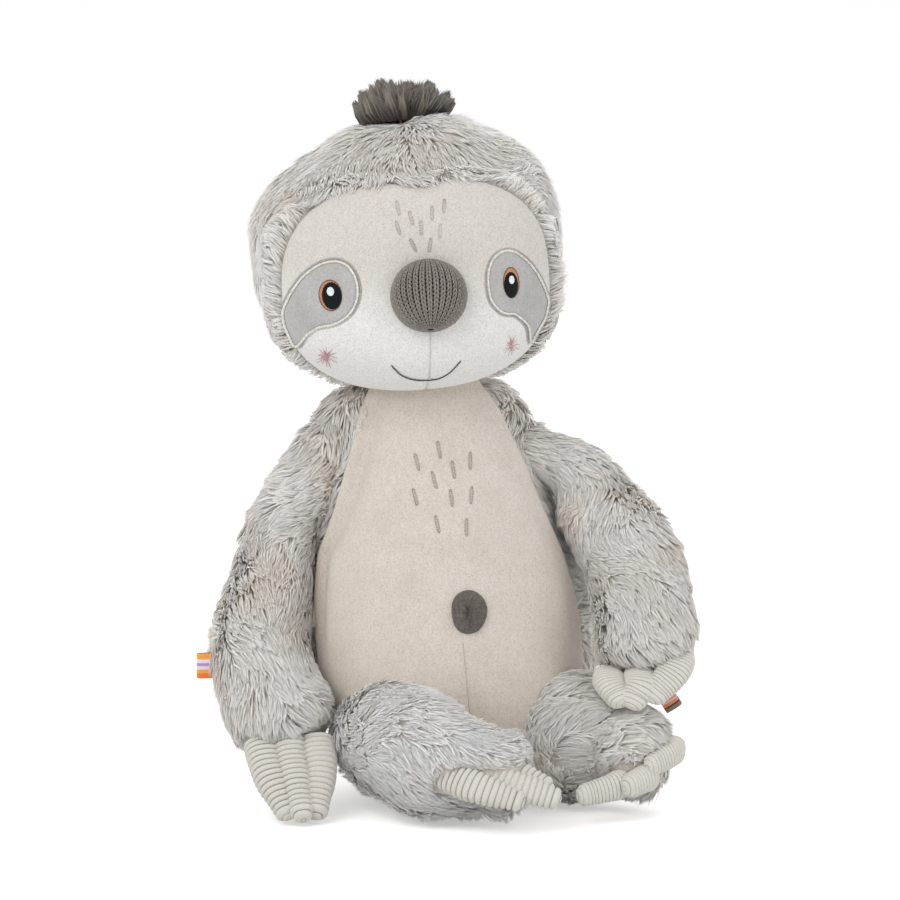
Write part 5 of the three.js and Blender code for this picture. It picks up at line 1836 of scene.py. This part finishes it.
def loop_form(centre: tuple, aim: tuple, tilt: float, out: float, wide: float) -> Form:
    """A ribbon folded into a loop: a long flat oval carried across the ribbon's width.

    Args:
        centre: The middle of its sewn end.
        aim: The way it stands out.
        tilt: Its turn about that way, in radians.
        out: How far it stands out.
        wide: The ribbon's width.

    Returns:
        The ribbon as a closed band with a thickness.
    """
    thick, gap, rows, cols = 0.7, 1.5, 40, 20
    s = np.linspace(0, 1, rows)
    straight = out - gap
    length = 2 * straight + math.pi * gap
    d = s * length
    bend = np.clip((d - straight) / gap, 0, math.pi)
    going, turning = d < straight, d < straight + math.pi * gap
    x = np.where(going, d, np.where(turning, straight + gap * np.sin(bend), length - d))
    y = np.where(going, -gap, np.where(turning, -gap * np.cos(bend), gap))
    outward = np.stack([np.sin(bend), -np.cos(bend)], axis=1)
    bulge = 0.35 * np.sin(math.pi * np.clip(x / out, 0, 1))
    across = np.linspace(-0.5, 0.5, cols) * wide
    forward = unit(np.array(aim, float))
    side = unit(np.cross(np.array([0, 0, 1.0]), forward))
    up = np.cross(forward, side)
    up, side = up * math.cos(tilt) + side * math.sin(tilt), side * math.cos(tilt) - up * math.sin(tilt)
    grids = []
    for grow in (thick / 2, -thick / 2):
        px = (x + outward[:, 0] * grow)[:, None, None] * forward
        py = (y + outward[:, 1] * (grow + bulge))[:, None, None] * side
        grids.append(np.array(centre) + px + py + across[None, :, None] * up)
    u = np.broadcast_to(np.linspace(0.01, 0.99, cols)[None, :], (rows, cols))
    v = np.broadcast_to(s[:, None] * length / wide, (rows, cols))
    return shell_form(*grids, np.stack([u, v], axis=-1))


def build_limbs(finish: Wardrobe) -> None:
    """Builds the arms, the legs and the ribbon loops sewn into their seams."""
    build_limb(ARM_RIGHT, HAND_RIGHT, "hand_claws_right", ARM_LOCKS, finish)
    build_limb(ARM_LEFT, HAND_LEFT, "hand_claws_left", ARM_LOCKS, finish)
    build_limb(LEG_RIGHT, FOOT_RIGHT, "foot_claws_right", LEG_LOCKS, finish)
    build_limb(LEG_LEFT, FOOT_LEFT, "foot_claws_left", LEG_LOCKS, finish)
    loop = loop_form((-132.3, -22, 76), (-1, 0, 0), 0.0, 14, 13.5)
    sewn("ribbon_loop_arm", loop, finish.bright, "arm_right", Slot.RIBBON, "label_loop_arm", merge=True)
    loop = loop_form((98.6, -63.2, 56.3), (0.84, -0.087, 0.535), -0.3, 9.5, 11.5)
    sewn("ribbon_loop_leg", loop, finish.olive, "leg_left", Slot.RIBBON, "label_loop_leg", merge=True)


# Stage


@dataclass(frozen=True)
class Studio:
    """A pale floor, soft light and the camera."""

    lens: float = 220.0
    distance: float = 2.97
    azimuth: float = -8.0
    elevation: float = 8.0
    target: Trio = (-0.0065, 0.0, 0.1868)

    def camera(self) -> None:
        """Places the camera at its angle and distance, looking at the target."""
        data = bpy.data.cameras.new("camera")
        data.lens = self.lens
        data.sensor_width = 36
        data.clip_end = 50
        camera = bpy.data.objects.new("camera", data)
        bpy.context.scene.collection.objects.link(camera)
        a, e = math.radians(self.azimuth), math.radians(self.elevation)
        back = Vector((math.sin(a) * math.cos(e), -math.cos(a) * math.cos(e), math.sin(e)))
        camera.location = Vector(self.target) + back * self.distance
        camera.rotation_mode = "QUATERNION"
        camera.rotation_quaternion = (-back).to_track_quat("-Z", "Y")
        bpy.context.scene.camera = camera

    def lamp(self, name: str, at: Trio, aim: Trio, size: float, watts: float) -> None:
        """Adds a soft square lamp that looks at a point."""
        data = bpy.data.lights.new(name, "AREA")
        data.energy, data.size = watts, size
        lamp = bpy.data.objects.new(name, data)
        lamp.location = at
        lamp.rotation_mode = "QUATERNION"
        lamp.rotation_quaternion = (Vector(aim) - Vector(at)).to_track_quat("-Z", "Y")
        bpy.context.scene.collection.objects.link(lamp)

    def lights(self) -> None:
        """A big key lamp from the front left and above, a fill and a back light."""
        self.lamp("key", (-1.3, -1.7, 1.7), (0, 0, 0.15), 1.5, 25)
        self.lamp("fill", (1.7, -1.3, 0.8), (0, 0, 0.15), 1.6, 7)
        self.lamp("back", (0.6, 1.7, 1.6), (0, 0, 0.2), 1.4, 11)

    def world(self) -> None:
        """An even pale world that shows white to the camera."""
        world = bpy.data.worlds.new("world")
        bpy.context.scene.world = world
        world.use_nodes = True
        tree = world.node_tree
        tree.nodes.clear()
        path = tree.nodes.new("ShaderNodeLightPath")
        seen = self.seen(tree, path)
        soft, white = tree.nodes.new("ShaderNodeBackground"), tree.nodes.new("ShaderNodeBackground")
        soft.inputs["Strength"].default_value = 0.76
        soft.inputs["Color"].default_value = (0.97, 0.985, 1.0, 1)
        white.inputs["Color"].default_value = WHITE
        mix, out = tree.nodes.new("ShaderNodeMixShader"), tree.nodes.new("ShaderNodeOutputWorld")
        tree.links.new(seen, mix.inputs[0])
        tree.links.new(soft.outputs[0], mix.inputs[1])
        tree.links.new(white.outputs[0], mix.inputs[2])
        tree.links.new(mix.outputs[0], out.inputs["Surface"])

    @staticmethod
    def seen(tree: bpy.types.NodeTree, path: bpy.types.Node) -> Socket:
        """One where a ray comes from the camera, a mirror or glass."""
        value = path.outputs["Is Camera Ray"]
        for name in ("Is Glossy Ray", "Is Transmission Ray"):
            node = tree.nodes.new("ShaderNodeMath")
            node.operation = "MAXIMUM"
            tree.links.new(value, node.inputs[0])
            tree.links.new(path.outputs[name], node.inputs[1])
            value = node.outputs[0]
        return value

    def floor(self) -> None:
        """A wide pale floor that keeps the toy's shadow and else meets the white world."""
        mesh = bpy.data.meshes.new("floor")
        half, behind = 14.0, 2.2
        corners = [(-half, -half, 0), (half, -half, 0), (half, behind, 0), (-half, behind, 0)]
        mesh.from_pydata(corners, [], [(0, 1, 2, 3)])
        floor = bpy.data.objects.new("floor", mesh)
        bpy.context.scene.collection.objects.link(floor)
        sheet = Sheet("pale_floor")
        sheet.surface((0.9, 0.9, 0.9, 1), 0.9, 0.0, 0.0)
        path = sheet.add("ShaderNodeLightPath")
        glow = sheet.add("ShaderNodeMath", operation="MULTIPLY")
        sheet.put(0.4, glow.inputs[1])
        sheet.put(self.seen(sheet.tree, path), glow.inputs[0])
        sheet.put(WHITE, sheet.shader.inputs["Emission Color"])
        sheet.put(glow.outputs[0], sheet.shader.inputs["Emission Strength"])
        mesh.materials.append(sheet.material)


def main() -> None:
    """Builds the stage and every piece."""
    logging.basicConfig(level=logging.INFO, format="%(message)s")
    studio = Studio()
    studio.camera()
    studio.lights()
    studio.world()
    studio.floor()
    bpy.context.scene.view_settings.view_transform = "Standard"
    finish = Wardrobe()
    build_torso(finish)
    build_limbs(finish)
    build_head(finish)


if __name__ == "__main__":
    main()
